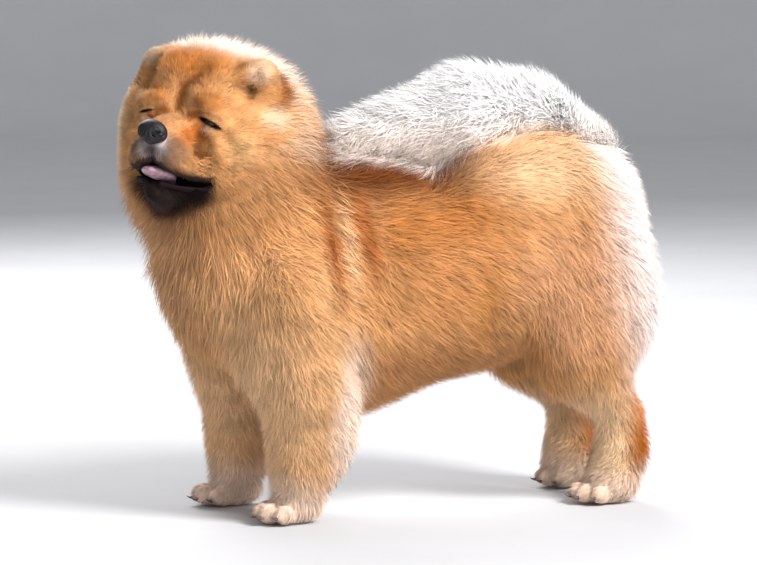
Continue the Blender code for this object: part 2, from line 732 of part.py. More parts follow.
def finish_leg(leg):
    """Adds the claws and levels the sole on the floor."""
    place, heading = PAWS[leg.name.replace("foreleg", "front").replace("_leg", "")]
    tool = claws("claws", place, heading)
    boolean(leg, tool, "UNION")
    remove(tool)
    tool = block("floor", (-0.4, -0.6, -0.1), (0.4, 0.6, 0.0))
    boolean(leg, tool, "DIFFERENCE")
    remove(tool)
    keep_largest(leg)


def make_tail():
    tail = base_mesh("tail", TAIL, 0.008)
    seeds = pulled(TAIL, points_of(tail), CORE_SHARE)
    place_points(tail, seeds)
    thin_out(tail, 260)
    place_points(tail, pulled(TAIL, points_of(tail), CORE_SHARE, steps=2))
    seeds = seeds[field(TAIL, seeds)[1] > LONG_COAT]
    roots = spread(seeds, np.where(seeds[:, 1] > 0.22, 0.048, 0.056), 5)
    lengths = np.where(roots[:, 1] > 0.21, 0.09, 0.13)
    join_locks(tail, make_locks(TAIL, roots, tail_lie, lengths, np.full(len(roots), 0.088)), 0.64)
    region = ellipsoid("tail region", TAIL_REGION)
    boolean(tail, region, "INTERSECT")
    remove(region)
    keep_largest(tail)


# A material for each kind of surface: colour, roughness
SURFACES = {
    "red fur": ((0.60, 0.27, 0.08, 1.0), 0.85),
    "pale fur": ((0.80, 0.62, 0.46, 1.0), 0.85),
    "white fur": ((0.90, 0.84, 0.78, 1.0), 0.85),
    "nose leather": ((0.02, 0.016, 0.02, 1.0), 0.45),
    "tongue skin": ((0.42, 0.28, 0.34, 1.0), 0.5),
    "dark eye": ((0.012, 0.008, 0.006, 1.0), 0.1),
}
SURFACE_OF = {
    "eye_left": "dark eye", "eye_right": "dark eye", "nose": "nose leather", "tongue": "tongue skin", "tail": "white fur",
    "foreleg_left": "pale fur", "foreleg_right": "pale fur", "hind_leg_left": "pale fur", "hind_leg_right": "pale fur",
}


def give_materials():
    for name, (colour, rough) in SURFACES.items():
        material = bpy.data.materials.new(name)
        material.use_nodes = True
        shader = material.node_tree.nodes["Principled BSDF"]
        shader.inputs["Base Color"].default_value = colour
        shader.inputs["Roughness"].default_value = rough
        shader.inputs["Metallic"].default_value = 0.0
    for obj in bpy.data.objects:
        obj.data.materials.clear()
        obj.data.materials.append(bpy.data.materials[SURFACE_OF.get(obj.name, "red fur")])


def centre_and_collect():
    """Puts the origin at the middle of the footprint of the whole animal, and its nodes in one collection."""
    points = np.concatenate([points_of(obj) for obj in bpy.data.objects])
    middle = (points.min(axis=0) + points.max(axis=0)) / 2
    middle[2] = 0.0
    print("origin moved by", middle)
    group = bpy.data.collections.new("chow chow")
    bpy.context.scene.collection.children.link(group)
    for obj in list(bpy.data.objects):
        place_points(obj, points_of(obj) - middle)
        bpy.context.scene.collection.objects.unlink(obj)
        group.objects.link(obj)


def main():
    for obj in list(bpy.data.objects):
        bpy.data.objects.remove(obj)
    forms = body_forms()
    body = base_mesh("torso", forms, 0.012)
    seeds = pulled(forms, points_of(body), CORE_SHARE)
    place_points(body, seeds)
    thin_out(body, 1700)
    place_points(body, pulled(forms, points_of(body), CORE_SHARE, steps=2))
    locks = body_locks(seeds)
    make_head(head_forms() + lids(), locks)
    make_body(body, locks)
    make_tail()
    give_materials()
    centre_and_collect()


main()
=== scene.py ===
import math

import bmesh
import bpy
import numpy as np
from mathutils import Euler, Matrix, Vector
from mathutils.kdtree import KDTree


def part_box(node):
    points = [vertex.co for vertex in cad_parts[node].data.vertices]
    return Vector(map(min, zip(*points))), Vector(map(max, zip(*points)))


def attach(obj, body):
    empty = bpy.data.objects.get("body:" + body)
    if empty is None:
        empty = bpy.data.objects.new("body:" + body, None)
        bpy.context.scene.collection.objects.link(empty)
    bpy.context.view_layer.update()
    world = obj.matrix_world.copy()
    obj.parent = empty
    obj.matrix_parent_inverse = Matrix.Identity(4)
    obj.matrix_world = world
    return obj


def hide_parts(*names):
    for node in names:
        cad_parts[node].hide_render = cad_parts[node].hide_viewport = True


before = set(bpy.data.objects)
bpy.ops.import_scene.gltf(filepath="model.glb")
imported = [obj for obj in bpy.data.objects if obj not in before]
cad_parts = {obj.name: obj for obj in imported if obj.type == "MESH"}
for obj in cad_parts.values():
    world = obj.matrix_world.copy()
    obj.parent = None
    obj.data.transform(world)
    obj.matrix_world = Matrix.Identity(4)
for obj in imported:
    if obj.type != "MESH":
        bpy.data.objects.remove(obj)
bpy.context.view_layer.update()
print("solids loaded")

# The animal is modelled standing on z = 0, facing -y, its left side at +x, in metres.
# The last step moves every piece by toFrame, so that it meets the solids.
head = {
    "place": (0.015, -0.306, 0.589),
    "yaw": 45.0,  # degrees, towards its left
    "pitch": -10.0,  # nose up
    "roll": 8.5,  # left ear lower
    "faceCentre": (0.012, -0.070, -0.020),  # the short hair of the face ends on an oval round this
    "faceRadii": (0.116, 0.096, 0.116),
    "faceCoat": 0.009,
}
headMatrix = Matrix.Translation(head["place"]) @ (
    Matrix.Rotation(math.radians(head["yaw"]), 4, "Z")
    @ Matrix.Rotation(math.radians(head["pitch"]), 4, "X")
    @ Matrix.Rotation(math.radians(head["roll"]), 4, "Y")
)
headTurn = np.array(headMatrix.to_3x3())
headAt = np.array(headMatrix.translation)
eye = {"place": (0.0475, -0.0675, -0.0190), "radius": 0.0115, "lid": 0.0035, "slant": 18,
       "slit": {1: (0.0185, 0.014, 0.0024), -1: (0.0120, 0.014, 0.0015)}}  # the far eye is shut tighter


def boxMiddle(node):
    low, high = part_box(node)
    return np.array((low + high) / 2)


toFrame = boxMiddle("eye_left") - np.array(headMatrix @ Vector(eye["place"]))


def toHead(points):
    return (points - headAt) @ headTurn


def ball(centre, radii, coat=0.0, turn=(0.0, 0.0, 0.0), blend=0.04, hollow=False):
    turned = np.array(Euler([math.radians(angle) for angle in turn]).to_matrix())
    return {"ends": np.array([centre], float), "radii": np.array(radii, float), "turn": turned,
            "coat": coat, "blend": blend, "hollow": hollow}


def limb(start, end, startRadius, endRadius, coat=0.0, blend=0.04, hollow=False):
    return {"ends": np.array([start, end], float), "radii": np.array([startRadius, endRadius]), "turn": None,
            "coat": coat, "blend": blend, "hollow": hollow}


def bothSides(mass):
    mirror = np.diag([-1.0, 1.0, 1.0])
    turn = None if mass["turn"] is None else mirror @ mass["turn"] @ mirror
    return [mass, {**mass, "ends": mass["ends"] @ mirror, "turn": turn}]


def moved(mass, matrix):
    turn = np.array(matrix.to_3x3())
    ends = mass["ends"] @ turn.T + np.array(matrix.translation)
    return {**mass, "ends": ends, "turn": None if mass["turn"] is None else turn @ mass["turn"]}


def onHead(masses):
    return [moved(mass, headMatrix) for mass in masses]


# Each mass is a rounded form out to the tips of the hair, with the depth of the coat there
trunk = [
    ball((0.0, 0.020, 0.335), (0.155, 0.270, 0.160), coat=0.055),
    ball((0.0, -0.100, 0.318), (0.148, 0.170, 0.190), coat=0.060, blend=0.06),
    ball((-0.005, -0.255, 0.350), (0.130, 0.125, 0.145), coat=0.075, blend=0.06),
    ball((0.0, 0.215, 0.405), (0.148, 0.165, 0.156), coat=0.055, blend=0.06),
    ball((0.0, -0.050, 0.400), (0.115, 0.150, 0.125), coat=0.060, blend=0.03),
    ball((0.0, 0.262, 0.435), (0.124, 0.120, 0.124), coat=0.055, blend=0.04),
]
trunk += bothSides(ball((0.064, 0.155, 0.468), (0.072, 0.140, 0.086), coat=0.055, turn=(12, 0, 0), blend=0.05))
trunk += bothSides(ball((0.066, 0.310, 0.325), (0.076, 0.076, 0.130), coat=0.085, turn=(12, 0, 0), blend=0.05))
trunk += bothSides(ball((0.088, 0.265, 0.290), (0.078, 0.110, 0.150), coat=0.050, turn=(-14, 0, 0), blend=0.04))
ruff = [
    limb((0.0, -0.170, 0.410), (0.000, -0.265, 0.550), 0.120, 0.120, coat=0.085, blend=0.07),
    *onHead([ball((0.016, 0.050, -0.030), (0.150, 0.104, 0.142), coat=0.090, blend=0.05)]),
    *onHead([ball((-0.045, 0.045, 0.020), (0.075, 0.075, 0.086), coat=0.080, blend=0.04)]),
    *onHead([ball((-0.053, 0.012, -0.112), (0.058, 0.070, 0.070), coat=0.080, blend=0.04)]),
    ball((0.004, -0.303, 0.420), (0.104, 0.097, 0.120), coat=0.090, blend=0.05),
]


def frontLeg(side, step):
    return [
        ball((0.080 * side, -0.248 + step / 2, 0.262), (0.056, 0.056, 0.085), 0.060),
        limb((0.095 * side, -0.200 + step, 0.320), (0.104 * side, -0.192 + step, 0.200), 0.085, 0.070, 0.045, 0.05),
        limb((0.104 * side, -0.194 + step, 0.210), (0.102 * side, -0.196 + step, 0.075), 0.064, 0.050, 0.022, 0.03),
        ball((0.103 * side, -0.150 + step, 0.135), (0.040, 0.054, 0.095), 0.035, (-10, 0, 0), 0.03),
    ]


def hindLeg(side):
    return [
        limb((0.092 * side, 0.250, 0.230), (0.086 * side, 0.315, 0.135), 0.070, 0.040, 0.030, 0.03),
        limb((0.086 * side, 0.317, 0.130), (0.086 * side, 0.305, 0.045), 0.040, 0.036, 0.015, 0.02),
        ball((0.086 * side, 0.340, 0.080), (0.026, 0.034, 0.060), 0.025, blend=0.02),
    ]


toes = ((-0.028, -0.014), (-0.010, -0.030), (0.010, -0.030), (0.028, -0.014))
paws = {
    "front_left": ((0.102, -0.212, 0.0), 4.0),
    "front_right": ((-0.100, -0.232, 0.0), -4.0),
    "hind_left": ((0.086, 0.292, 0.0), 4.0),
    "hind_right": ((-0.086, 0.314, 0.0), -4.0),
}


def paw(place, heading):
    spot = Matrix.Translation(place) @ Matrix.Rotation(math.radians(heading), 4, "Z")
    masses = [ball((0.0, 0.014, 0.026), (0.040, 0.046, 0.034), 0.014, blend=0.035)]
    for across, ahead in toes:
        masses.append(ball((across, ahead, 0.019), (0.0140, 0.025, 0.020), 0.008, (0, 0, across * 500), 0.008))
    return [moved(mass, spot) for mass in masses]


legs = frontLeg(1, 0.0) + frontLeg(-1, -0.020) + hindLeg(1) + hindLeg(-1)
for place, heading in paws.values():
    legs += paw(place, heading)
tail = [
    limb((0.0, 0.290, 0.502), (0.0, 0.200, 0.558), 0.068, 0.082, coat=0.060),
    limb((0.0, 0.200, 0.558), (0.000, 0.110, 0.566), 0.082, 0.089, coat=0.080, blend=0.03),
    limb((0.000, 0.110, 0.566), (0.000, -0.085, 0.545), 0.089, 0.044, coat=0.065, blend=0.03),
    limb((0.0, 0.250, 0.515), (0.0, 0.060, 0.520), 0.032, 0.030, coat=0.005, blend=0.02),
]
skull = [
    ball((0.0, 0.012, 0.014), (0.088, 0.088, 0.076), 0.020, blend=0.03),
    limb((0.0, -0.050, -0.030), (0.0, -0.124, -0.046), 0.030, 0.022, 0.006, blend=0.03),
    ball((0.0, -0.095, -0.066), (0.036, 0.052, 0.032), 0.006, blend=0.02),
]
face = (
    bothSides(ball((0.036, -0.044, 0.034), (0.042, 0.032, 0.044), 0.008, (0, -10, 0), 0.020))
    + bothSides(ball((0.045, -0.072, 0.000), (0.027, 0.016, 0.014), 0.005, (0, 18, 12), 0.012))
    + bothSides(ball((0.052, -0.050, -0.048), (0.030, 0.036, 0.028), 0.008, blend=0.016))
    + bothSides(ball((0.066, -0.006, -0.055), (0.046, 0.058, 0.060), 0.020, blend=0.03))
    + bothSides(ball((0.0200, -0.110, -0.077), (0.0215, 0.034, 0.0250), 0.006, (0, 0, 8), 0.008))
    + bothSides(ball((0.0310, -0.092, -0.085), (0.0200, 0.034, 0.0215), 0.006, (0, 0, 16), 0.010))
    + bothSides(ball((0.0430, -0.072, -0.085), (0.0200, 0.030, 0.0200), 0.008, (0, 0, 20), 0.012))
    + [limb((0.0, -0.035, -0.126), (0.0, -0.098, -0.126), 0.036, 0.020, 0.006, 0.016)]
    + bothSides(limb((0.050, -0.056, -0.112), (0.013, -0.112, -0.117), 0.010, 0.006, 0.001, 0.008))
    + [ball((-0.075, -0.026, -0.012), (0.036, 0.034, 0.054), 0.045, blend=0.030)]
    + [limb((0.018, -0.075, 0.052), (-0.007, -0.080, 0.026), 0.004, 0.007, hollow=True, blend=0.007)]
    + [limb((-0.007, -0.080, 0.026), (-0.005, -0.083, -0.004), 0.007, 0.009, hollow=True, blend=0.007)]
    + bothSides(limb((0.006, -0.088, -0.005), (0.030, -0.091, -0.014), 0.0090, 0.0075, hollow=True, blend=0.006))
    + bothSides(limb((0.040, -0.089, -0.025), (0.045, -0.093, -0.052), 0.0065, 0.0085, hollow=True, blend=0.007))
    + bothSides(limb((0.045, -0.093, -0.052), (0.051, -0.082, -0.080), 0.0085, 0.0040, hollow=True, blend=0.009))
    + bothSides(limb((0.072, -0.079, -0.030), (0.088, -0.072, -0.052), 0.0060, 0.0080, hollow=True, blend=0.008))
)
lids = bothSides(ball(eye["place"], (0.020, eye["radius"] + eye["lid"], 0.0135), 0.0, (0, eye["slant"], 0), 0.006))
ears = []
earMass = (
    ball((0.0, 0.0, -0.014), (0.036, 0.022, 0.030), 0.005, blend=0.012),
    ball((0.003, 0.0, 0.010), (0.026, 0.015, 0.024), 0.005, blend=0.018),
    ball((-0.003, -0.034, -0.001), (0.024, 0.018, 0.025), hollow=True, blend=0.004),
    ball((-0.008, -0.026, -0.022), (0.013, 0.012, 0.009), hollow=True, blend=0.004),
)
for place, turn, side in (((0.087, -0.027, 0.058), (16, 18, 16), 1), ((-0.073, -0.017, 0.047), (18, -18, -20), -1)):
    spot = Matrix.Translation(place) @ Euler([math.radians(angle) for angle in turn]).to_matrix().to_4x4()
    ears += [moved(bothSides(mass)[0 if side > 0 else 1], spot) for mass in earMass]


lips = {  # out from the middle, and the heights of the upper and the lower lip there
    "across": (0.0, 0.006, 0.020, 0.034, 0.050, 0.069),
    "upper": (-0.0850, -0.0890, -0.0960, -0.1020, -0.1010, -0.0970),
    "lower": (-0.1120, -0.1125, -0.1140, -0.1150, -0.1110, -0.0980),
    "back": -0.035,
}


def distanceTo(mass, points):
    if mass["turn"] is not None:
        local = (points - mass["ends"][0]) @ mass["turn"]
        near = np.linalg.norm(local / mass["radii"], axis=1)
        slope = np.linalg.norm(local / mass["radii"] ** 2, axis=1)
        return near * (near - 1.0) / np.maximum(slope, 1e-9)
    start, end = mass["ends"]
    along = end - start
    share = np.clip((points - start) @ along / (along @ along), 0.0, 1.0)
    radius = mass["radii"][0] + share * (mass["radii"][1] - mass["radii"][0])
    return np.linalg.norm(points - start - share[:, None] * along, axis=1) - radius


def lipHeights(across):
    across = np.abs(across)
    return np.interp(across, lips["across"], lips["upper"]), np.interp(across, lips["across"], lips["lower"])


def mouthAway(points):
    # how far outside the open mouth, less than nothing inside it
    local = toHead(points)
    upper, lower = lipHeights(local[:, 0])
    beside = np.abs(local[:, 0]) - lips["across"][-1]
    return np.max([local[:, 2] - upper, lower - local[:, 2], beside, local[:, 1] - lips["back"]], axis=0)


def lowerLip(points):
    # 1 on the bare dark skin under the lower lip's edge
    local = toHead(points)
    under = lipHeights(local[:, 0])[1] - local[:, 2]
    share = ramp(under, -0.001, 0.0005) * (1.0 - ramp(under, 0.006, 0.010)) * (1.0 - ramp(local[:, 1], -0.050, -0.042))
    return share * (1.0 - ramp(np.abs(local[:, 0]), 0.064, 0.070))


def eyeAway(points):
    # how far from the slit between the lids
    local = toHead(points)
    near = [np.linalg.norm((local - np.array(eye["place"]) * (side, 1, 1)) / (1.6, 1.0, 1.0), axis=1) for side in (1, -1)]
    return np.min(near, axis=0)


def faceOval(points):
    # 1 on the rim of the face, less inside it
    return np.linalg.norm((toHead(points) - head["faceCentre"]) / head["faceRadii"], axis=1)


def ramp(values, start, end):
    share = np.clip((values - start) / (end - start), 0.0, 1.0)
    return share * share * (3.0 - 2.0 * share)


def nearEar(points):
    # 1 on the ears and 0 a thumb's width away, so that the ruff's long hair leaves them clear
    return 1.0 - ramp(nearest(onHead(ears), points), 0.002, 0.016)


def coatField(masses, points):
    away = distanceTo(masses[0], points)
    coat = np.full(len(points), masses[0]["coat"])
    for mass in masses[1:]:
        other = distanceTo(mass, points)
        blend = mass["blend"]
        if mass["hollow"]:
            keep = np.clip(0.5 + 0.5 * (away + other) / blend, 0.0, 1.0)
            away = away * keep - other * (1.0 - keep) + blend * keep * (1.0 - keep)
            continue
        keep = np.clip(0.5 + 0.5 * (other - away) / blend, 0.0, 1.0)
        away = other * (1.0 - keep) + away * keep - blend * keep * (1.0 - keep)
        coat = mass["coat"] * (1.0 - keep) + coat * keep
    share = np.clip((faceOval(points) - 0.9) / 0.6, 0.0, 1.0)
    coat = coat * share + np.minimum(coat, head["faceCoat"]) * (1.0 - share)
    coat = coat * (0.3 + 0.7 * ramp(eyeAway(points), 0.014, 0.026))
    return away, coat + (np.minimum(coat, 0.007) - coat) * nearEar(points)


furrows = []
for start, end, radius in (
    ((0.174, -0.153, 0.315), (0.149, -0.143, 0.409), 0.022),  # behind the ruff
    ((0.149, -0.143, 0.409), (0.119, -0.130, 0.472), 0.022),
    ((0.161, -0.093, 0.320), (0.148, -0.087, 0.407), 0.019),  # behind the shoulder
    ((0.148, -0.087, 0.407), (0.120, -0.078, 0.464), 0.019),
    ((0.152, 0.096, 0.330), (0.116, 0.112, 0.235), 0.016),  # before the thigh
):
    furrows += bothSides(limb(start, end, radius, radius, hollow=True, blend=0.014))
bodyMasses = trunk + ruff + legs + furrows
headMasses = onHead(skull + face + lids)
earMasses = onHead(ears)
allMasses = bodyMasses + headMasses + earMasses + tail


def skinDepth(coat):
    # the skin lies at the bottom of short coat, and about half way down long coat
    return coat * (0.92 - 0.37 * ramp(coat, 0.014, 0.040))


def nearest(masses, points):
    return np.min([distanceTo(mass, points) for mass in masses if not mass["hollow"]], axis=0)


def tailShare(points):
    # 1 where the tail is nearer than the body, 0 where the body is
    return ramp(nearest(bodyMasses, points) - nearest(tail, points), -0.014, 0.014)


def gridOf(masses, low, high, step):
    axes = [np.arange(low[axis], high[axis] + step, step) for axis in range(3)]
    points = np.stack(np.meshgrid(*axes, indexing="ij"), -1).reshape(-1, 3)
    away, coat = coatField(masses, points)
    shape = [len(axis) for axis in axes]
    away = away.reshape(shape)
    slope = np.stack(np.gradient(away, step), -1)
    plume = tailShare(points).reshape(shape)
    every = np.concatenate([away[..., None], coat.reshape(shape)[..., None], slope, plume[..., None]], -1)
    return {"low": np.array(low), "step": step, "every": every, "shape": np.array(shape)}


def look(grid, points):
    # distance to the tips, coat depth, outward slope and share of the tail at the points
    place = (points - grid["low"]) / grid["step"]
    place = np.clip(place, 0.0, grid["shape"] - 1.001)
    cell = place.astype(int)
    part = place - cell
    found = 0.0
    for corner in range(8):
        shift = np.array([corner & 1, corner >> 1 & 1, corner >> 2])
        weight = np.prod(np.where(shift, part, 1.0 - part), axis=1)
        index = cell + shift
        found = found + weight[:, None] * grid["every"][index[:, 0], index[:, 1], index[:, 2]]
    return found[:, 0], found[:, 1], unit(found[:, 2:5]), found[:, 5]


def unit(ways):
    return ways / np.maximum(np.linalg.norm(ways, axis=1), 1e-9)[:, None]


bodyGrid = gridOf(allMasses, (-0.24, -0.50, -0.02), (0.24, 0.48, 0.74), 0.0075)
print("coat field measured")


def deselectAll():
    bpy.ops.object.select_all(action="DESELECT")


def applyModifier(obj, kind, **settings):
    bpy.context.view_layer.objects.active = obj
    change = obj.modifiers.new(kind.lower(), kind)
    for name, value in settings.items():
        setattr(change, name, value)
    bpy.ops.object.modifier_apply(modifier=change.name)


def rawBody(masses, name, voxel):
    # the masses as overlapping balls and cones, fused by a voxel remesh
    deselectAll()
    pieces = []
    for mass in masses:
        if mass["hollow"]:
            continue
        ends = mass["ends"]
        if mass["turn"] is not None:
            angles = Matrix(mass["turn"].tolist()).to_euler()
            bpy.ops.mesh.primitive_uv_sphere_add(segments=20, ring_count=12, radius=1.0, location=ends[0],
                                                 rotation=angles, scale=mass["radii"])
            pieces.append(bpy.context.object)
            continue
        along = Vector(ends[1] - ends[0])
        bpy.ops.mesh.primitive_cone_add(vertices=20, radius1=mass["radii"][0], radius2=mass["radii"][1],
                                        depth=along.length, location=Vector(ends[0]) + along / 2,
                                        rotation=along.to_track_quat("Z", "Y").to_euler())
        pieces.append(bpy.context.object)
        for end, radius in zip(ends, mass["radii"]):
            bpy.ops.mesh.primitive_uv_sphere_add(segments=20, ring_count=12, radius=radius, location=end)
            pieces.append(bpy.context.object)
    for piece in pieces:
        piece.select_set(True)
    bpy.context.view_layer.objects.active = pieces[0]
    bpy.ops.object.join()
    body = bpy.context.object
    body.name = name
    bpy.ops.object.transform_apply(location=True, rotation=True, scale=True)
    applyModifier(body, "REMESH", mode="VOXEL", voxel_size=voxel)
    return body


def pointsOf(obj):
    points = np.empty(len(obj.data.vertices) * 3)
    obj.data.vertices.foreach_get("co", points)
    return points.reshape(-1, 3)


def placePoints(obj, points):
    obj.data.vertices.foreach_set("co", points.ravel())
    obj.data.update()


def pulled(masses, points, depthOf, steps):
    # the points moved on to the surface that lies as deep under the tips as depthOf says
    for _ in range(steps):
        away, coat = coatField(masses, points)
        level = away + depthOf(coat)
        slope = np.empty_like(points)
        for axis in range(3):
            shift = np.zeros(3)
            shift[axis] = 0.0004
            moreAway, moreCoat = coatField(masses, points + shift)
            slope[:, axis] = (moreAway + depthOf(moreCoat) - level) / 0.0004
        size = np.maximum((slope**2).sum(axis=1), 0.05)
        points = points - np.clip(level / size, -0.02, 0.02)[:, None] * slope
    return points


def subdivideNear(obj, chosen):
    # splits the faces whose corners are chosen
    deselectAll()
    obj.select_set(True)
    bpy.context.view_layer.objects.active = obj
    bpy.ops.object.mode_set(mode="EDIT")
    bpy.ops.mesh.select_mode(type="VERT")
    bpy.ops.mesh.select_all(action="DESELECT")
    bpy.ops.object.mode_set(mode="OBJECT")
    obj.data.vertices.foreach_set("select", chosen)
    bpy.ops.object.mode_set(mode="EDIT")
    bpy.ops.mesh.select_mode(type="FACE")
    bpy.ops.mesh.subdivide(number_cuts=1)
    bpy.ops.object.mode_set(mode="OBJECT")


def addBall(mass, grow=0.0, segments=32):
    deselectAll()
    angles = Matrix(mass["turn"].tolist()).to_euler()
    bpy.ops.mesh.primitive_uv_sphere_add(segments=segments, ring_count=segments // 2, radius=1.0, location=mass["ends"][0],
                                         rotation=angles, scale=mass["radii"] + grow)
    bpy.ops.object.transform_apply(location=True, rotation=True, scale=True)
    return bpy.context.object


def cut(obj, tool):
    applyModifier(obj, "BOOLEAN", operation="DIFFERENCE", solver="MANIFOLD", object=tool)
    bpy.data.objects.remove(tool)


def mouthCutter():
    # a block shaped by the lips, through the front of the muzzle
    deselectAll()
    bpy.ops.mesh.primitive_cube_add(size=2.0)
    cutter = bpy.context.object
    bpy.ops.object.mode_set(mode="EDIT")
    bpy.ops.mesh.subdivide(number_cuts=22)
    bpy.ops.object.mode_set(mode="OBJECT")
    block = pointsOf(cutter)
    upper, lower = lipHeights(block[:, 0] * lips["across"][-1])
    local = np.stack([
        block[:, 0] * lips["across"][-1],
        lips["back"] + (block[:, 1] - 1.0) * 0.085,
        lower + (upper - lower) * (block[:, 2] + 1.0) / 2.0,
    ], 1)
    placePoints(cutter, local @ headTurn.T + headAt)
    return cutter


skinMasses = allMasses
skin = rawBody(skinMasses, "skin", 0.006)
skinPoints = pulled(skinMasses, pointsOf(skin), skinDepth, 4)
placePoints(skin, skinPoints)
subdivideNear(skin, faceOval(skinPoints) < 1.15)
skinPoints = pointsOf(skin)
local = toHead(skinPoints)
besideEye = np.min([np.linalg.norm(local - np.array(eye["place"]) * (side, 1, 1), axis=1) for side in (1, -1)], axis=0)
subdivideNear(skin, (besideEye < 0.030) | (np.linalg.norm((local - (0, -0.11, -0.085)) / (0.06, 0.07, 0.05), axis=1) < 1.0))
skinPoints = pulled(skinMasses, pointsOf(skin), skinDepth, 3)
skinPoints[:, 2] = np.maximum(skinPoints[:, 2], 0.0012)  # soles flat on the floor
placePoints(skin, skinPoints)
cut(skin, mouthCutter())
for side in (1, -1):
    place = np.array(eye["place"]) * (side, 1, 1)
    cut(skin, addBall(onHead([ball(place, [eye["radius"]] * 3)])[0], 0.0003, 24))
    slit = ball(place + (0.001 * side, -0.013, 0), eye["slit"][side], turn=(0, eye["slant"] * side, 0))
    cut(skin, addBall(onHead([slit])[0], 0.0, 20))
print("skin made", len(skin.data.polygons), "faces")

# Colours of the coat, as patches on the animal: place, reach and colour
def toLinear(code):
    values = [int(code[start:start + 2], 16) / 255 for start in (1, 3, 5)]
    return np.array([value / 12.92 if value <= 0.04045 else ((value + 0.055) / 1.055) ** 2.4 for value in values])


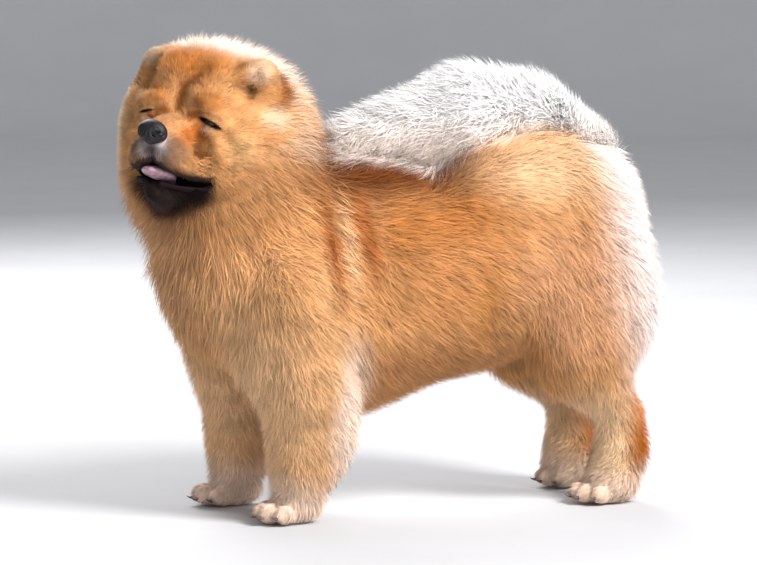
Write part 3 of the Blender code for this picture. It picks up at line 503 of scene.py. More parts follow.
bodyColours = {
    "red gold": "#DFA26A",
    "bodyPatches": (  # place, reach, colour, and how soft the edge is
        ((0.0, -0.030, 0.500), (0.190, 0.230, 0.085), "#6E3810", 0.9),  # red saddle, darkened further as painted shadow under the tail
        ((0.140, -0.084, 0.430), (0.060, 0.016, 0.110), "#A8561F", 0.9),  # painted shade in the furrow behind the shoulder
        ((0.145, -0.141, 0.420), (0.060, 0.015, 0.120), "#A8561F", 0.9),  # painted shade in the furrow behind the ruff
        ((0.150, -0.113, 0.410), (0.060, 0.014, 0.110), "#F3C294", 0.8),  # painted highlight on the ridge between them
        ((0.150, 0.020, 0.420), (0.070, 0.130, 0.090), "#C07A3C", 0.9),
        ((0.160, 0.060, 0.330), (0.060, 0.130, 0.100), "#CF905A", 0.9),
        ((0.160, 0.220, 0.300), (0.060, 0.100, 0.130), "#E0A67A", 0.9),
        ((0.100, 0.030, 0.200), (0.120, 0.180, 0.070), "#C48A58", 0.9),  # belly
        ((0.130, 0.095, 0.290), (0.080, 0.022, 0.090), "#CB8C50", 0.9),  # painted shade in the crease before the thigh
        ((0.120, 0.200, 0.500), (0.120, 0.130, 0.070), "#EABB8E", 0.9),  # top of the rump, lightened as a painted highlight from above
        ((0.0, 0.440, 0.380), (0.340, 0.175, 0.300), "#F7E6E0", 0.6),  # cream rim of the breeches
        ((0.0, 0.360, 0.530), (0.180, 0.120, 0.100), "#FBEDE6", 0.8),
        ((0.0, -0.400, 0.300), (0.190, 0.130, 0.180), "#D6A274", 0.9),  # chest
        ((0.100, -0.220, 0.190), (0.090, 0.120, 0.200), "#FFD0A0", 0.9),
        ((0.110, -0.120, 0.130), (0.080, 0.050, 0.150), "#FFE2CC", 0.9),  # feathering behind the forelegs
        ((0.100, 0.270, 0.080), (0.070, 0.070, 0.120), "#FFD6AA", 0.9),
        ((0.096, 0.368, 0.090), (0.070, 0.052, 0.110), "#C26E26", 0.8),
        ((0.100, -0.230, 0.010), (0.090, 0.120, 0.060), "#FADBC4", 0.8),
        ((0.086, 0.300, 0.010), (0.080, 0.120, 0.050), "#F8D8C0", 0.8),
    ),
    "headPatches": (
        ((0.0, -0.045, 0.066), (0.080, 0.060, 0.040), "#C47A3A", 0.9),  # red forehead
        ((0.022, -0.086, -0.012), (0.016, 0.020, 0.009), "#A05C2C", 0.8),  # painted shade in the fold from there to the inner corner of the eye
        ((0.045, -0.082, 0.012), (0.030, 0.030, 0.018), "#D08848", 0.9),  # brow
        ((0.035, -0.094, -0.038), (0.014, 0.034, 0.030), "#CC7430", 0.9),  # red streak beside the bridge
        ((0.0, -0.115, -0.028), (0.020, 0.034, 0.020), "#C48A58", 0.9),  # bridge
        ((0.045, -0.086, -0.042), (0.006, 0.020, 0.026), "#A05C2C", 0.8),  # painted shadow in the fold under the eye
        # painted shade in the fold down the cheek beside the muzzle
        ((0.050, -0.076, -0.078), (0.008, 0.020, 0.024), "#B8743E", 0.8),
        ((0.050, -0.082, -0.0290), (0.009, 0.012, 0.0038), "#EBBE9C", 0.7),
        ((0.100, -0.058, -0.045), (0.022, 0.044, 0.030), "#E3B078", 0.9),  # painted highlight on the cheek
        ((0.046, -0.092, -0.072), (0.020, 0.034, 0.026), "#C08552", 0.9),
        ((0.024, -0.124, -0.076), (0.026, 0.036, 0.034), "#866450", 0.9),  # flews, darkened as painted half shade on the side of the muzzle
        ((0.0, -0.152, -0.066), (0.028, 0.030, 0.034), "#C4B6B6", 0.6),  # grey-white round the nose
        ((0.0, -0.148, -0.076), (0.017, 0.024, 0.015), "#51413F", 0.9),  # dark lip below the nose
        ((0.0, -0.070, -0.152), (0.064, 0.065, 0.034), "#5A3722", 0.9),
        ((0.010, -0.085, -0.124), (0.070, 0.075, 0.032), "#2C1F1D", 0.45),  # dark lower jaw: black lips and dark beard, with painted shadow under the flews
        ((0.133, -0.020, 0.008), (0.026, 0.040, 0.020), "#F2D2AE", 0.9),  # pale tuft below the ear
        ((0.124, 0.000, 0.056), (0.024, 0.034, 0.042), "#A8642C", 0.9),  # shadow behind it
        ((0.088, -0.030, 0.064), (0.044, 0.034, 0.048), "#CF935C", 0.5),  # ear
        ((0.093, -0.032, 0.068), (0.022, 0.024, 0.021), "#F0C9A4", 0.6),
    ),
    "oneSidedPatches": (
        ((-0.116, -0.024, -0.070), (0.028, 0.056, 0.120), "#F2CFAC", 0.9),  # painted rim light beyond the far cheek
        ((0.064, -0.034, 0.060), (0.009, 0.024, 0.024), "#7E4C28", 0.8),  # shaded edges of the near ear
        # painted shade in the bottom of the near ear's opening
        ((0.088, -0.020, 0.040), (0.018, 0.024, 0.008), "#38231A", 0.7),
    ),
    "paintedFoldShade": (  # painted shade along the folds of the face: start, end, half width, colour
        ((0.018, -0.076, 0.050), (-0.006, -0.078, 0.028), 0.0050, "#A35C26"),  # down the forehead
        ((-0.006, -0.078, 0.028), (-0.005, -0.080, -0.004), 0.0060, "#A35C26"),
        ((0.020, -0.075, 0.012), (0.042, -0.072, 0.020), 0.0035, "#B87238"),  # over the brow
        ((0.030, -0.078, -0.006), (0.062, -0.070, -0.008), 0.0035, "#A35C26"),  # above the lid
        ((0.046, -0.082, -0.036), (0.064, -0.078, -0.052), 0.0035, "#B06A34"),  # bags under the eye
        ((0.052, -0.080, -0.066), (0.074, -0.072, -0.074), 0.0040, "#BC7A42"),
    ),
    # painted rim light on the pale outline of the ruff
    "painted rim light on the ruff": "#FBE8D4",
    "tail": "#FFFDFB",
    "under the tail": "#FFE9DA",
    "inside of the mouth": "#1E1217",
    "lid rim": "#20130F",
}


def slitShare(points, reach):
    # 1 along the slit between the lids of each eye
    local = toHead(points)
    found = np.zeros(len(points))
    for side in (1, -1):
        turn = np.array(Matrix.Rotation(math.radians(eye["slant"] * side), 3, "Y"))
        turned = (local - (np.array(eye["place"]) + (0.002, 0, 0)) * (side, 1, 1)) @ turn
        turned *= np.array(eye["slit"][1]) / eye["slit"][side]
        found = np.maximum(found, 1.0 - ramp(np.linalg.norm(turned / reach, axis=1), 0.8, 1.15))
    return found


def coatColour(points):
    folded = np.concatenate([np.abs(points[:, :1]), points[:, 1:]], axis=1)
    oneSided = toHead(points)
    local = np.concatenate([np.abs(oneSided[:, :1]), oneSided[:, 1:]], axis=1)
    colour = np.tile(toLinear(bodyColours["red gold"]), (len(points), 1))

    def paint(share, code):
        colour[:] += share[:, None] * (toLinear(code) - colour)

    # painted rim light round the upper outline of the head and ruff
    rim = ramp(np.linalg.norm(local[:, ::2] / (0.180, 0.094), axis=1), 0.80, 1.06) * ramp(local[:, 2], -0.07, 0.02)
    rim *= 1.0 - ramp(local[:, 1], 0.05, 0.12)
    for where, patches in ((folded, bodyColours["bodyPatches"]), (local, bodyColours["headPatches"]),
                           (oneSided, bodyColours["oneSidedPatches"])):
        for place, reach, code, soft in patches:
            paint(1.0 - ramp(np.linalg.norm((where - place) / reach, axis=1), 1.25 - soft, 1.25), code)
        if where is folded:
            paint(rim, bodyColours["painted rim light on the ruff"])
    squash = np.array((1.0, 0.35, 1.0))  # so that a line reaches down to the roots
    # painted shade along the folds of the face
    for start, end, reach, code in bodyColours["paintedFoldShade"]:
        line = limb(start * squash, end * squash, 0.0, 0.0)
        paint(1.0 - ramp(distanceTo(line, oneSided * squash), reach * 0.3, reach * 1.3), code)
    paint(slitShare(points, (0.0235, 0.022, 0.0058)), bodyColours["lid rim"])
    paint(1.0 - ramp(mouthAway(points), 0.0006, 0.0030), bodyColours["inside of the mouth"])
    paint(lowerLip(points), bodyColours["inside of the mouth"])
    plume = look(bodyGrid, points)[3]
    paint(plume, bodyColours["tail"])
    paint(plume * (1.0 - ramp(points[:, 2], 0.510, 0.600)), bodyColours["under the tail"])
    return colour


# How the hair lies: named places on the left side, the way the hair runs there, and how far that reaches
coatLies = {
    "nape": ((0.0, -0.150, 0.620), (0.0, 0.60, -0.60), 0.10),
    "ruff below": ((0.0, -0.400, 0.440), (0.0, 0.0, -1.0), 0.10),
    "chest": ((0.0, -0.370, 0.330), (0.0, 0.15, -1.0), 0.12),
    "shoulder": ((0.150, -0.190, 0.330), (0.0, 0.45, -0.90), 0.11),
    "neck side": ((0.130, -0.230, 0.470), (0.0, 0.55, -0.80), 0.10),
    "back": ((0.0, 0.050, 0.490), (0.25, 1.0, -0.10), 0.12),
    "side": ((0.150, 0.050, 0.350), (0.0, 0.85, -0.55), 0.12),
    "belly": ((0.0, 0.050, 0.180), (0.0, 0.85, -0.40), 0.12),
    "rump": ((0.050, 0.330, 0.470), (0.15, 0.45, -0.90), 0.09),
    "thigh": ((0.160, 0.260, 0.300), (0.0, 0.35, -0.95), 0.10),
    "breeches": ((0.070, 0.390, 0.300), (0.0, 0.20, -1.0), 0.10),
    "elbow": ((0.110, -0.130, 0.150), (0.0, 0.35, -0.95), 0.08),
    "foreleg": ((0.110, -0.210, 0.100), (0.0, 0.10, -1.0), 0.08),
    "forefoot": ((0.100, -0.240, 0.015), (0.0, -0.80, -0.60), 0.04),
    "hindfoot": ((0.086, 0.270, 0.015), (0.0, -0.80, -0.60), 0.04),
}


def bodyLie(points):
    folded = np.concatenate([np.abs(points[:, :1]), points[:, 1:]], axis=1)
    total = np.zeros_like(points)
    for place, way, reach in coatLies.values():
        near = np.exp(-((folded - place) ** 2).sum(axis=1) / (2.0 * (reach * 0.6) ** 2)) + 1e-9
        total += near[:, None] * np.array(way)
    total[:, 0] *= np.sign(points[:, 0])
    return unit(total)


def ruffLie(points):
    out = toHead(points) * (1.0, 0.0, 1.0)
    out /= np.maximum(np.linalg.norm(out, axis=1), 0.03)[:, None]
    return unit((out + (0.0, 0.70, -0.25)) @ headTurn.T)


def faceLie(points):
    # away from the nose on every side
    out = unit(toHead(points) - (0.0, -0.150, -0.055))
    return unit((out + (0.0, 0.30, 0.0)) @ headTurn.T)


def coatLie(points):
    away = np.linalg.norm((toHead(points) - (0.0, 0.02, -0.02)) / (0.17, 0.15, 0.17), axis=1)
    share = np.clip((away - 0.85) / 0.5, 0.0, 1.0)[:, None]
    lie = ruffLie(points) * (1.0 - share) + bodyLie(points) * share
    share = ramp(faceOval(points), 0.85, 1.15)[:, None]
    lie = faceLie(points) * (1.0 - share) + lie * share
    share = look(bodyGrid, points)[3][:, None]
    return unit(lie * (1.0 - share) + tailLie(points) * share)


def tailLie(points):
    root = np.clip((points[:, 1] - 0.230) / 0.050, 0.0, 1.0)
    way = np.zeros_like(points)
    way[:, 0] = points[:, 0] * 12.0
    way[:, 1] = -1.0 + 0.7 * root
    way[:, 2] = np.where(points[:, 2] > 0.57, 0.25, -0.45) * (1.0 - root) + root
    return unit(way)


def unwrap(obj):
    deselectAll()
    obj.select_set(True)
    bpy.context.view_layer.objects.active = obj
    obj.data.uv_layers.new(name="OFBake")
    bpy.ops.object.mode_set(mode="EDIT")
    bpy.ops.mesh.select_all(action="SELECT")
    bpy.ops.uv.smart_project(angle_limit=math.radians(66.0), island_margin=0.002)
    bpy.ops.object.mode_set(mode="OBJECT")


def trianglesOf(obj):
    # corner places, normals, unwrap places and area of each triangle of a mesh
    mesh = obj.data
    mesh.calc_loop_triangles()
    count = len(mesh.loop_triangles)
    corners = np.empty(count * 3, np.int32)
    loops = np.empty(count * 3, np.int32)
    mesh.loop_triangles.foreach_get("vertices", corners)
    mesh.loop_triangles.foreach_get("loops", loops)
    uvs = np.empty(len(mesh.loops) * 2)
    mesh.uv_layers["OFBake"].data.foreach_get("uv", uvs)
    normals = np.empty(len(mesh.vertices) * 3)
    mesh.vertices.foreach_get("normal", normals)
    places = pointsOf(obj)[corners].reshape(-1, 3, 3)
    area = np.linalg.norm(np.cross(places[:, 1] - places[:, 0], places[:, 2] - places[:, 0]), axis=1) / 2
    return places, normals.reshape(-1, 3)[corners].reshape(-1, 3, 3), uvs.reshape(-1, 2)[loops].reshape(-1, 3, 2), area


def scatter(triangles, density, random):
    # seeded roots all over the triangles, density(middles) to the square metre
    places, normals, uvs, area = triangles
    wanted = area * density(places.mean(axis=1))
    count = np.floor(wanted + random.random(len(wanted))).astype(int)
    which = np.repeat(np.arange(len(wanted)), count)
    one, two = np.sqrt(random.random(len(which))), random.random(len(which))
    share = np.stack([1.0 - one, one * (1.0 - two), one * two], -1)[..., None]
    return ((places[which] * share).sum(axis=1), unit((normals[which] * share).sum(axis=1)),
            (uvs[which] * share).sum(axis=1))


def hairPaths(grid, roots, lie, lengths, stations, tipDepth, jitter, random):
    # where each tuft runs: along the lie, from the skin up to just under the tips' surface
    points = roots
    path = [points]
    rootDepth = -look(grid, roots)[0]
    sway = random.normal(size=roots.shape) * jitter
    for before, after in zip(stations[:-1], stations[1:]):
        slope = look(grid, points)[2]
        way = lie(points) + sway
        way = unit(way - (way * slope).sum(axis=1)[:, None] * slope)
        points = points + way * (lengths * (after - before))[:, None]
        away, _, slope, _ = look(grid, points)
        share = after**0.75
        target = -(rootDepth * (1.0 - share) + tipDepth * share)
        points = points - np.clip(away - target, -0.03, 0.03)[:, None] * slope
        path.append(points)
    path = np.stack(path, 1)
    path[:, :, 2] = np.maximum(path[:, :, 2], 0.0025)
    return path


def gathered(path, layer, random):
    # bends each tuft towards the nearest of a few leading tufts, which makes locks of one shade
    if len(path) < 10:
        return path, np.ones((len(path), 1))
    leaders = random.permutation(len(path))[: max(4, int(len(path) * layer["leaders"]))]
    tree = KDTree(len(leaders))
    for index, leader in enumerate(leaders):
        tree.insert(path[leader, 0], index)
    tree.balance()
    nearest = np.array([leaders[tree.find(point)[1]] for point in path[:, 0]])
    share = np.array(layer["stations"]) ** 1.4 * layer["pull"]
    shade = random.normal(1.0, layer["spread"], (len(path), 1))[nearest]
    return path + (path[nearest] - path) * share[None, :, None], shade


def tuftMesh(name, path, normals, widths, uvs, rootColours, tipColours, stations):
    # every tuft of a coat piece as a tapered three-sided blade, all in one mesh
    count, rings = path.shape[0], path.shape[1] - 1
    along = np.empty_like(path)
    along[:, 1:-1] = path[:, 2:] - path[:, :-2]
    along[:, 0] = path[:, 1] - path[:, 0]
    along[:, -1] = path[:, -1] - path[:, -2]
    taper = (1.3,) if rings == 1 else (0.8, 1.0)
    verts = np.empty((count, rings * 3 + 1, 3))
    vertUvs = np.empty((count, rings * 3 + 1, 2))
    vertColours = np.ones((count, rings * 3 + 1, 4), np.float32)
    facing = np.empty_like(verts)
    patch = 0.003
    for ring in range(rings):
        way = unit(along[:, ring])
        across = unit(np.cross(way, normals))
        up = np.cross(across, way)
        size = (widths * taper[ring] / 2)[:, None]
        for corner, (sideways, upwards) in enumerate(((-1.0, -0.25), (0.0, 0.75), (1.0, -0.25))):
            verts[:, ring * 3 + corner] = path[:, ring] + across * size * sideways + up * size * upwards
            facing[:, ring * 3 + corner] = normals * 0.8 + across * sideways * 0.45 + up * upwards * 0.45
            vertUvs[:, ring * 3 + corner] = uvs + ((corner - 1) * patch / 2, (stations[ring] - 0.5) * patch)
            vertColours[:, ring * 3 + corner, :3] = rootColours + (tipColours - rootColours) * stations[ring] * 1.3
    verts[:, -1] = path[:, -1]
    verts[:, :, 2] = np.maximum(verts[:, :, 2], 0.0008)
    facing[:, -1] = normals + unit(along[:, -1]) * 0.3
    vertUvs[:, -1] = uvs + (0.0, patch / 2)
    vertColours[:, -1, :3] = tipColours
    faces = [(2, 1, 0)]
    for ring in range(rings - 1):
        for corner in range(3):
            one, two = ring * 3 + corner, ring * 3 + (corner + 1) % 3
            faces += [(one, two, two + 3), (one, two + 3, one + 3)]
    last = (rings - 1) * 3
    faces += [(last + corner, last + (corner + 1) % 3, last + 3) for corner in range(3)]
    faces = np.array(faces, np.int32)
    every = (faces[None] + (np.arange(count, dtype=np.int32) * (rings * 3 + 1))[:, None, None]).reshape(-1, 3)
    mesh = bpy.data.meshes.new(name)
    mesh.vertices.add(count * (rings * 3 + 1))
    mesh.vertices.foreach_set("co", verts.ravel())
    mesh.loops.add(len(every) * 3)
    mesh.loops.foreach_set("vertex_index", every.ravel())
    mesh.polygons.add(len(every))
    mesh.polygons.foreach_set("loop_start", np.arange(0, len(every) * 3, 3, dtype=np.int32))
    mesh.update(calc_edges=True)
    layer = mesh.uv_layers.new(name="OFBake")
    layer.data.foreach_set("uv", vertUvs.reshape(-1, 2)[every.ravel()].ravel())
    tint = mesh.color_attributes.new("coatColour", "FLOAT_COLOR", "POINT")
    tint.data.foreach_set("color", vertColours.ravel())
    mesh.shade_smooth()
    mesh.normals_split_custom_set_from_vertices(unit(facing.reshape(-1, 3)).tolist())
    obj = bpy.data.objects.new(name, mesh)
    bpy.context.scene.collection.objects.link(obj)
    return obj


def addNode(material, kind, links=(), **settings):
    # adds a node, sets its inputs and properties, and links (socket, input) pairs to it
    node = material.node_tree.nodes.new(kind)
    for name, value in settings.items():
        if name in node.bl_rna.properties and name != "name":
            setattr(node, name, value)
        else:
            node.inputs[name.replace("_", " ")].default_value = value
    for socket, name in links:
        material.node_tree.links.new(socket, node.inputs[name])
    return node


def newMaterial(name):
    material = bpy.data.materials.new(name)
    material.use_nodes = True
    return material, material.node_tree.nodes["Principled BSDF"]


def furMaterial(name, roughness, sheen):
    # guard hair over woolly undercoat: dull, with a soft sheen along the tips
    material, surface = newMaterial(name)
    tint = addNode(material, "ShaderNodeAttribute", attribute_name="coatColour")
    place = addNode(material, "ShaderNodeTexCoord")
    blotch = addNode(material, "ShaderNodeTexNoise", [(place.outputs["Object"], "Vector")], Scale=36.0, Detail=6.0,
                     Roughness=0.72)
    level = addNode(material, "ShaderNodeMapRange", [(blotch.outputs["Fac"], "Value")])
    level.inputs["From Min"].default_value = 0.3
    level.inputs["From Max"].default_value = 0.7
    level.inputs["To Min"].default_value = 0.74
    level.inputs["To Max"].default_value = 1.14
    shaded = addNode(material, "ShaderNodeVectorMath", [(tint.outputs["Color"], 0), (level.outputs["Result"], "Scale")],
                     operation="SCALE")
    material.node_tree.links.new(shaded.outputs["Vector"], surface.inputs["Base Color"])
    surface.inputs["Roughness"].default_value = roughness
    surface.inputs["Specular IOR Level"].default_value = 0.10
    surface.inputs["Sheen Weight"].default_value = sheen  # light caught among the fine tips
    surface.inputs["Sheen Roughness"].default_value = 0.45
    return material


furRed = furMaterial("guard hair", 0.70, 0.06)
furWhite = furMaterial("tail plume hair", 0.65, 0.70)
skinHide = furMaterial("undercoat", 0.80, 0.0)


def paintSkin(obj):
    points = pointsOf(obj)
    colours = np.ones((len(points), 4), np.float32)
    # the skin is painted at 80% of the coat's colour as painted shade at the bottom of the coat, at full colour under
    # the tail
    colours[:, :3] = coatColour(points) * (0.8 + 0.2 * look(bodyGrid, points)[3][:, None])
    tint = obj.data.color_attributes.new("coatColour", "FLOAT_COLOR", "POINT")
    tint.data.foreach_set("color", colours.ravel())
    obj.data.materials.clear()
    obj.data.materials.append(skinHide)
    obj.data.polygons.foreach_set("material_index", np.zeros(len(obj.data.polygons), np.int32))
    obj.data.shade_smooth()


unwrap(skin)
paintSkin(skin)
print("skin unwrapped and painted")

# paintedRootShade darkens each tuft towards its root, as painted shade down in the coat
hair = {
    "lock": {  # a few hairs lying together
        "stations": (0.0, 0.55, 1.0), "width": 0.0007, "widening": 0.009, "deepest": 0.28, "shallowest": -0.04,
        "sway": 0.26, "leaders": 0.10, "pull": 0.20, "paintedRootShade": 0.80, "reach": 1.18, "spread": 0.08,
    },
    "tip": {  # finer hair between them
        "stations": (0.0, 1.0), "width": 0.0005, "widening": 0.0065, "deepest": 0.20, "shallowest": -0.08,
        "sway": 0.34, "leaders": 0.05, "pull": 0.16, "paintedRootShade": 0.82, "reach": 1.08, "spread": 0.08,
    },
    "short": {  # the fine plush of the face
        "stations": (0.0, 1.0), "width": 0.0007, "widening": 0.0065, "deepest": 0.26, "shallowest": -0.14,
        "sway": 0.40, "leaders": 0.035, "pull": 0.26, "paintedRootShade": 0.72, "reach": 1.08, "spread": 0.11,
    },
    "plume": {  # the tail's long loose hair
        "stations": (0.0, 0.55, 1.0), "width": 0.0007, "widening": 0.008, "deepest": 0.16, "shallowest": -0.06,
        "sway": 0.30, "leaders": 0.08, "pull": 0.12, "paintedRootShade": 1.0, "reach": 1.15, "spread": 0.02,
    },
    "down": {
        "stations": (0.0, 1.0), "width": 0.0005, "widening": 0.007, "deepest": 0.10, "shallowest": -0.12,
        "sway": 0.36, "leaders": 0.05, "pull": 0.06, "paintedRootShade": 1.0, "reach": 1.05, "spread": 0.02,
    },
    "halo": {  # the finest, which stands a little proud and softens the outline
        "stations": (0.0, 1.0), "width": 0.0004, "widening": 0.003, "deepest": 0.02, "shallowest": -0.17,
        "sway": 0.45, "leaders": 0.02, "pull": 0.05, "paintedRootShade": 0.95, "reach": 1.15, "spread": 0.05,
    },
    "thinned": 1.0,
}


def bare(points):
    # places with no hair: nose, lips, the lids' slit, the inside of the mouth, under the feet
    nose = np.linalg.norm((toHead(points) - (0, -0.150, -0.052)) / (0.026, 0.022, 0.021), axis=1) < 1.0
    slit = slitShare(points, (0.0190, 0.022, 0.0045)) > 0.5
    return slit | (mouthAway(points) < 0.002) | (lowerLip(points) > 0.5) | nose | (points[:, 2] < 0.003)


def longHere(points):
    return look(bodyGrid, points)[1] >= 0.030


def coatPiece(name, layer, roots, normals, uvs):
    away, coat, _, _ = look(bodyGrid, roots)
    count = len(roots)
    lengths = (0.0015 + layer["reach"] * skinDepth(coat)) * random.uniform(0.75, 1.20, count)
    tipDepth = np.maximum(coat, 0.004) * random.uniform(layer["shallowest"], layer["deepest"], count)
    path = hairPaths(bodyGrid, roots, coatLie, lengths, layer["stations"], tipDepth, layer["sway"], random)
    path, varied = gathered(path, layer, random)
    widths = (layer["width"] + layer["widening"] * np.minimum(coat, 0.06)) * random.uniform(0.8, 1.25, count)
    varied = varied * random.normal(1.0, 0.05, (count, 1))
    tipColours = coatColour(path[:, -1])
    # the roots are darkened by the layer's factor, painted shade down in the coat
    rootColours = (coatColour(roots) + tipColours) / 2 * layer["paintedRootShade"]
    obj = tuftMesh(name, path, normals, widths, uvs, rootColours * varied, tipColours * varied, layer["stations"])
    print(name, count, "tufts", len(obj.data.polygons), "triangles")
    return obj


def grow(prefix, word, perSquareMetre, chosen, zones, material):
    # one layer of the coat, in pieces by zone
    wanted = perSquareMetre * hair["thinned"]
    roots, normals, uvs = scatter(trianglesOf(skin), lambda middles: wanted * (chosen(middles) & ~bare(middles)), random)
    for name, inZone in zones.items():
        fit = inZone(roots)
        obj = coatPiece(prefix + name, hair[word], roots[fit], normals[fit], uvs[fit])
        obj.data.materials.append(material)
        coats.append(obj)


def between(axis, low, high, side=None):
    # a zone of the body between two planes across an axis, on one side of the animal
    def inside(points):
        found = (points[:, axis] >= low) & (points[:, axis] < high)
        return found if side is None else found & (points[:, 0] * side >= 0.0)
    return inside


def onTail(points):
    return look(bodyGrid, points)[3] > 0.5


def onBody(points):
    return longHere(points) & ~onTail(points)


def onFace(points):
    return ~longHere(points) & (points[:, 2] > 0.42) & ~onTail(points)


def onLegs(points):
    return ~longHere(points) & (points[:, 2] <= 0.42)


def allOver(points):
    return longHere(points) | onTail(points)


coats = []
random = np.random.default_rng(11)
bodyZones = {}
for word, low, high in (("front", -1.0, -0.255), ("shoulder", -0.255, -0.110), ("flank", -0.110, 0.140),
                        ("rump", 0.140, 1.0)):
    for side, sign in (("left", 1), ("right", -1)):
        bodyZones[f"{word}_{side}"] = between(1, low, high, sign)
faceZones = {
    "face_left": lambda points: toHead(points)[:, 0] >= 0.0,
    "face_right": lambda points: toHead(points)[:, 0] < 0.0,
}
legZones = {"legs_front": between(1, -1.0, 0.05), "legs_hind": between(1, 0.05, 1.0)}
tailZones = {"tail_left": between(0, 0.0, 1.0), "tail_right": between(0, -1.0, 0.0)}
haloZones = {"fore": between(1, -1.0, -0.10), "aft": between(1, -0.10, 1.0)}
grow("locks_", "lock", 38000, onBody, bodyZones, furRed)
grow("tips_", "tip", 131000, onBody, bodyZones, furRed)
grow("locks_", "lock", 58000, onLegs, legZones, furRed)
grow("tips_", "tip", 235000, onLegs, legZones, furRed)
grow("locks_", "lock", 50000, onFace, faceZones, furRed)
grow("tips_", "short", 430000, onFace, faceZones, furRed)
grow("locks_", "plume", 78000, onTail, tailZones, furWhite)
grow("tips_", "down", 260000, onTail, tailZones, furWhite)
grow("halo_", "halo", 40000, allOver, haloZones, furRed)
print("coat grown", sum(len(obj.data.polygons) for obj in coats), "triangles")

# Eyes, nose, tongue and claws
wetFinishes = {
    "wet dark brown eye": {  # smooth and wet under the lids, brown in the light and black in their shade
        "colours": ("#120A08", "#2A170D"), "grain": 260.0, "relief": 0.0, "roughness": 0.10, "specular": 0.35,
    },
    "moist nose leather": {  # pebbles about 1.4 mm across, damp on top
        "colours": ("#0E0B0D", "#1F191D"), "grain": 700.0, "relief": 0.00035, "roughness": 0.48, "specular": 0.35,
    },
    "moist tongue": {  # fine papillae under a film of spit, blue-grey over pink
        "colours": ("#8E7080", "#BE96A2"), "grain": 900.0, "relief": 0.00025, "roughness": 0.32, "specular": 0.5,
    },
    "claw horn": {  # dull grown horn with fine streaks
        "colours": ("#3A302B", "#6E5D52"), "grain": 500.0, "relief": 0.00015, "roughness": 0.45, "specular": 0.4,
    },
}


def mottle(material, surface, colours, scale):
    # blends two colours in soft blotches, and gives the place of each point
    place = addNode(material, "ShaderNodeTexCoord")
    blotch = addNode(material, "ShaderNodeTexNoise", [(place.outputs["Object"], "Vector")], Scale=scale, Detail=3.0)
    level = addNode(material, "ShaderNodeMapRange", [(blotch.outputs["Fac"], "Value")], From_Min=0.35, From_Max=0.65)
    mixed = addNode(material, "ShaderNodeMix", [(level.outputs["Result"], 0)], data_type="RGBA")
    mixed.inputs[6].default_value = (*toLinear(colours[0]), 1.0)
    mixed.inputs[7].default_value = (*toLinear(colours[1]), 1.0)
    material.node_tree.links.new(mixed.outputs[2], surface.inputs["Base Color"])
    return place


def wetMaterial(name):
    finish = wetFinishes[name]
    material, surface = newMaterial(name)
    place = mottle(material, surface, finish["colours"], finish["grain"] / 5.0)
    if finish["relief"]:
        grain = addNode(material, "ShaderNodeTexVoronoi", [(place.outputs["Object"], "Vector")], Scale=finish["grain"])
        bump = addNode(material, "ShaderNodeBump", [(grain.outputs["Distance"], "Height")], invert=True, Strength=0.8,
                       Distance=finish["relief"])
        material.node_tree.links.new(bump.outputs["Normal"], surface.inputs["Normal"])
    surface.inputs["Roughness"].default_value = finish["roughness"]
    surface.inputs["Specular IOR Level"].default_value = finish["specular"]
    return material


eyes = []
wetEye = wetMaterial("wet dark brown eye")
for side, word in ((1, "left"), (-1, "right")):
    place = np.array(eye["place"]) * (side, 1, 1)
    obj = addBall(onHead([ball(place, [eye["radius"]] * 3)])[0], 0.0, 32)
    obj.name = "eyeball_" + word
    obj.data.materials.append(wetEye)
    obj.data.shade_smooth()
    eyes.append(obj)

nosePlace = (0.0, -0.148, -0.048)
x, y, z = nosePlace
noseMasses = onHead(
    [ball((x, y, z + 0.002), (0.0200, 0.015, 0.0145)), ball((x, y, z - 0.008), (0.0115, 0.012, 0.0110), blend=0.008)]
    + bothSides(ball((0.0110, y + 0.002, z - 0.003), (0.0105, 0.013, 0.0105), blend=0.006))
    + bothSides(ball((0.0104, y - 0.014, z - 0.001), (0.0056, 0.0130, 0.0066), 0.0, (0, 25, 0), 0.002, True))
    + bothSides(limb((0.0125, y - 0.013, z - 0.004), (0.0215, y - 0.003, z - 0.003), 0.0028, 0.0014, 0.0, 0.002, True))
    + [limb((0.0, y - 0.0145, z - 0.004), (0.0, y - 0.011, z - 0.020), 0.0013, 0.0013, 0.0, 0.002, True)]
)
tongueMasses = onHead([
    limb((0.0, -0.060, -0.1090), (-0.002, -0.112, -0.1030), 0.008, 0.007),
    ball((-0.003, -0.094, -0.1035), (0.0225, 0.041, 0.0095), turn=(-4, 0, 6), blend=0.004),
    limb((-0.0015, -0.070, -0.0935), (-0.006, -0.132, -0.0945), 0.0012, 0.0010, 0.0, 0.004, True),
])


def noDepth(coat):
    return coat * 0.0


nose = rawBody(noseMasses, "nose_leather", 0.0012)
placePoints(nose, pulled(noseMasses, pointsOf(nose), noDepth, 4))
nose.data.shade_smooth()
nose.data.materials.append(wetMaterial("moist nose leather"))
tongue = rawBody(tongueMasses, "tongue_flesh", 0.0018)
placePoints(tongue, pulled(tongueMasses, pointsOf(tongue), noDepth, 4))
tongue.data.shade_smooth()
tongue.data.materials.append(wetMaterial("moist tongue"))

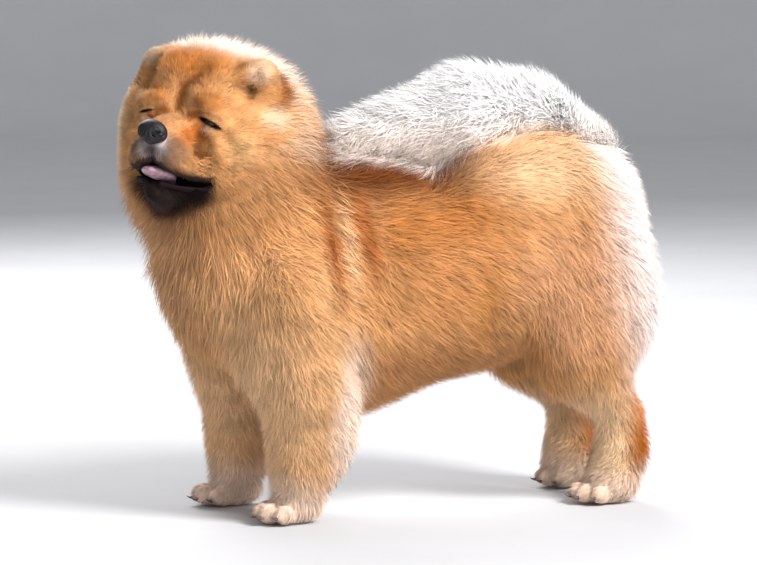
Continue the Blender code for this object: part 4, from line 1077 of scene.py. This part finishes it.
claw = {"length": 0.010, "width": 0.0062, "rings": 4, "curl": 0.26}
deselectAll()
bpy.ops.mesh.primitive_circle_add(vertices=8, radius=claw["width"] / 2, fill_type="NGON")
firstClaw = bpy.context.object
bpy.ops.object.mode_set(mode="EDIT")
tip = Vector((0.0, 0.0, 0.0))
for ring in range(claw["rings"]):
    angle = claw["curl"] * (ring + 1)
    step = Vector((0.0, math.sin(angle), math.cos(angle))) * claw["length"] / claw["rings"]
    tip += step
    bpy.ops.mesh.extrude_region_move(TRANSFORM_OT_translate={"value": step})
    bpy.ops.transform.resize(value=(0.74, 0.74, 0.74), center_override=tip)
bpy.ops.mesh.select_all(action="SELECT")
bpy.ops.mesh.normals_make_consistent(inside=False)
bpy.ops.object.mode_set(mode="OBJECT")
claws = []
for place, heading in paws.values():
    spot = Matrix.Translation(place) @ Matrix.Rotation(math.radians(heading), 4, "Z")
    for across, ahead in toes:
        toe = spot @ Matrix.Translation((across, ahead, 0.012)) @ Matrix.Rotation(math.radians(across * 500), 4, "Z")
        obj = firstClaw.copy()
        obj.data = firstClaw.data.copy()
        obj.data.transform(toe @ Matrix.Translation((0.0, -0.018, 0.0)) @ Matrix.Rotation(math.radians(112), 4, "X"))
        bpy.context.scene.collection.objects.link(obj)
        claws.append(obj)
bpy.data.objects.remove(firstClaw)
deselectAll()
for obj in claws:
    obj.select_set(True)
bpy.context.view_layer.objects.active = claws[0]
bpy.ops.object.join()
allClaws = bpy.context.object
allClaws.name = "claws"
allClaws.data.shade_smooth()
allClaws.data.materials.append(wetMaterial("claw horn"))
print("eyes, nose, tongue and claws made")

pieces = [skin, nose, tongue, allClaws] + eyes + coats
for obj in pieces:
    obj.data.transform(Matrix.Translation(toFrame))
    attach(obj, "root")
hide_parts("head", "neck", "torso", "ear_left", "ear_right", "foreleg_left", "foreleg_right",
            "hind_leg_left", "hind_leg_right", "tail")
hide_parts("nose")
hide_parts("tongue")
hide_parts("eye_left")
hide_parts("eye_right")
print("pieces ride on the frame")

# Studio: pale floor, soft lights and the photograph's viewpoint
studio = {
    "azimuth": 22.0,  # degrees that the camera stands towards the animal's front from square on to its side
    "elevation": 5.5,
    "distance": 6.5,
    "pixelsPerMetre": 680.0,
    "originPixel": (398.0, 505.5),  # where the animal's own origin falls in the 757 x 565 picture
    "picture": (757.0, 565.0),
}
azimuth, elevation = math.radians(studio["azimuth"]), math.radians(studio["elevation"])
viewWay = Vector((-math.cos(azimuth) * math.cos(elevation), math.sin(azimuth) * math.cos(elevation), -math.sin(elevation)))
viewRight = Vector((math.sin(azimuth), math.cos(azimuth), 0.0))
viewUp = viewRight.cross(viewWay)
width, height = studio["picture"]
aimed = viewRight * ((width / 2 - studio["originPixel"][0]) / studio["pixelsPerMetre"])
aimed += viewUp * ((studio["originPixel"][1] - height / 2) / studio["pixelsPerMetre"])
aimed += Vector(toFrame)
bpy.ops.object.camera_add(location=aimed - viewWay * studio["distance"], rotation=viewWay.to_track_quat("-Z", "Y").to_euler())
camera = bpy.context.object
camera.data.sensor_width = 36.0
camera.data.lens = 36.0 * studio["pixelsPerMetre"] * studio["distance"] / width
camera.data.clip_end = 50.0
bpy.context.scene.camera = camera


def softLight(name, place, size, power, aim=(0.0, 0.0, 0.3)):
    way = Vector(aim) - Vector(place)
    bpy.ops.object.light_add(type="AREA", radius=size, location=place, rotation=way.to_track_quat("-Z", "Y").to_euler())
    light = bpy.context.object
    light.name = name
    light.data.energy = power
    light.data.size = size


softLight("key", (3.2, 1.6, 3.2), 1.6, 350.0)
softLight("fill", (4.2, -1.0, 1.0), 3.0, 60.0)
softLight("back light", (-3.3, 0.3, 2.8), 2.5, 170.0)
deselectAll()
bpy.ops.mesh.primitive_circle_add(vertices=96, radius=8.5, fill_type="NGON")  # a round paper sweep
floor = bpy.context.object
floor.name = "studio_floor"
bpy.ops.object.mode_set(mode="EDIT")
bpy.ops.mesh.select_mode(type="EDGE")
for step in range(10):
    angle = math.radians(9.0 * step + 4.5)
    bpy.ops.mesh.extrude_edges_move()
    radius = 8.5 + 2.0 * math.sin(math.radians(9.0 * step))
    grown = (8.5 + 2.0 * math.sin(math.radians(9.0 * (step + 1)))) / radius
    rise = 2.0 * (math.cos(math.radians(9.0 * step)) - math.cos(math.radians(9.0 * (step + 1))))
    bpy.ops.transform.resize(value=(grown, grown, 1.0), center_override=(0.0, 0.0, 0.0))
    bpy.ops.transform.translate(value=(0.0, 0.0, rise))
bpy.ops.object.mode_set(mode="OBJECT")
floor.data.shade_smooth()
paper, surface = newMaterial("pale paper")  # matt, its blotches about 250 mm across
mottle(paper, surface, ("#C3C3C5", "#C6C6C8"), 4.0)
surface.inputs["Roughness"].default_value = 0.9
floor.data.materials.append(paper)
world = bpy.data.worlds.new("studio")
world.use_nodes = True
world.node_tree.nodes["Background"].inputs["Color"].default_value = (*toLinear("#E6E8EC"), 1.0)
world.node_tree.nodes["Background"].inputs["Strength"].default_value = 0.58
bpy.context.scene.world = world
bpy.context.scene.view_settings.view_transform = "Standard"
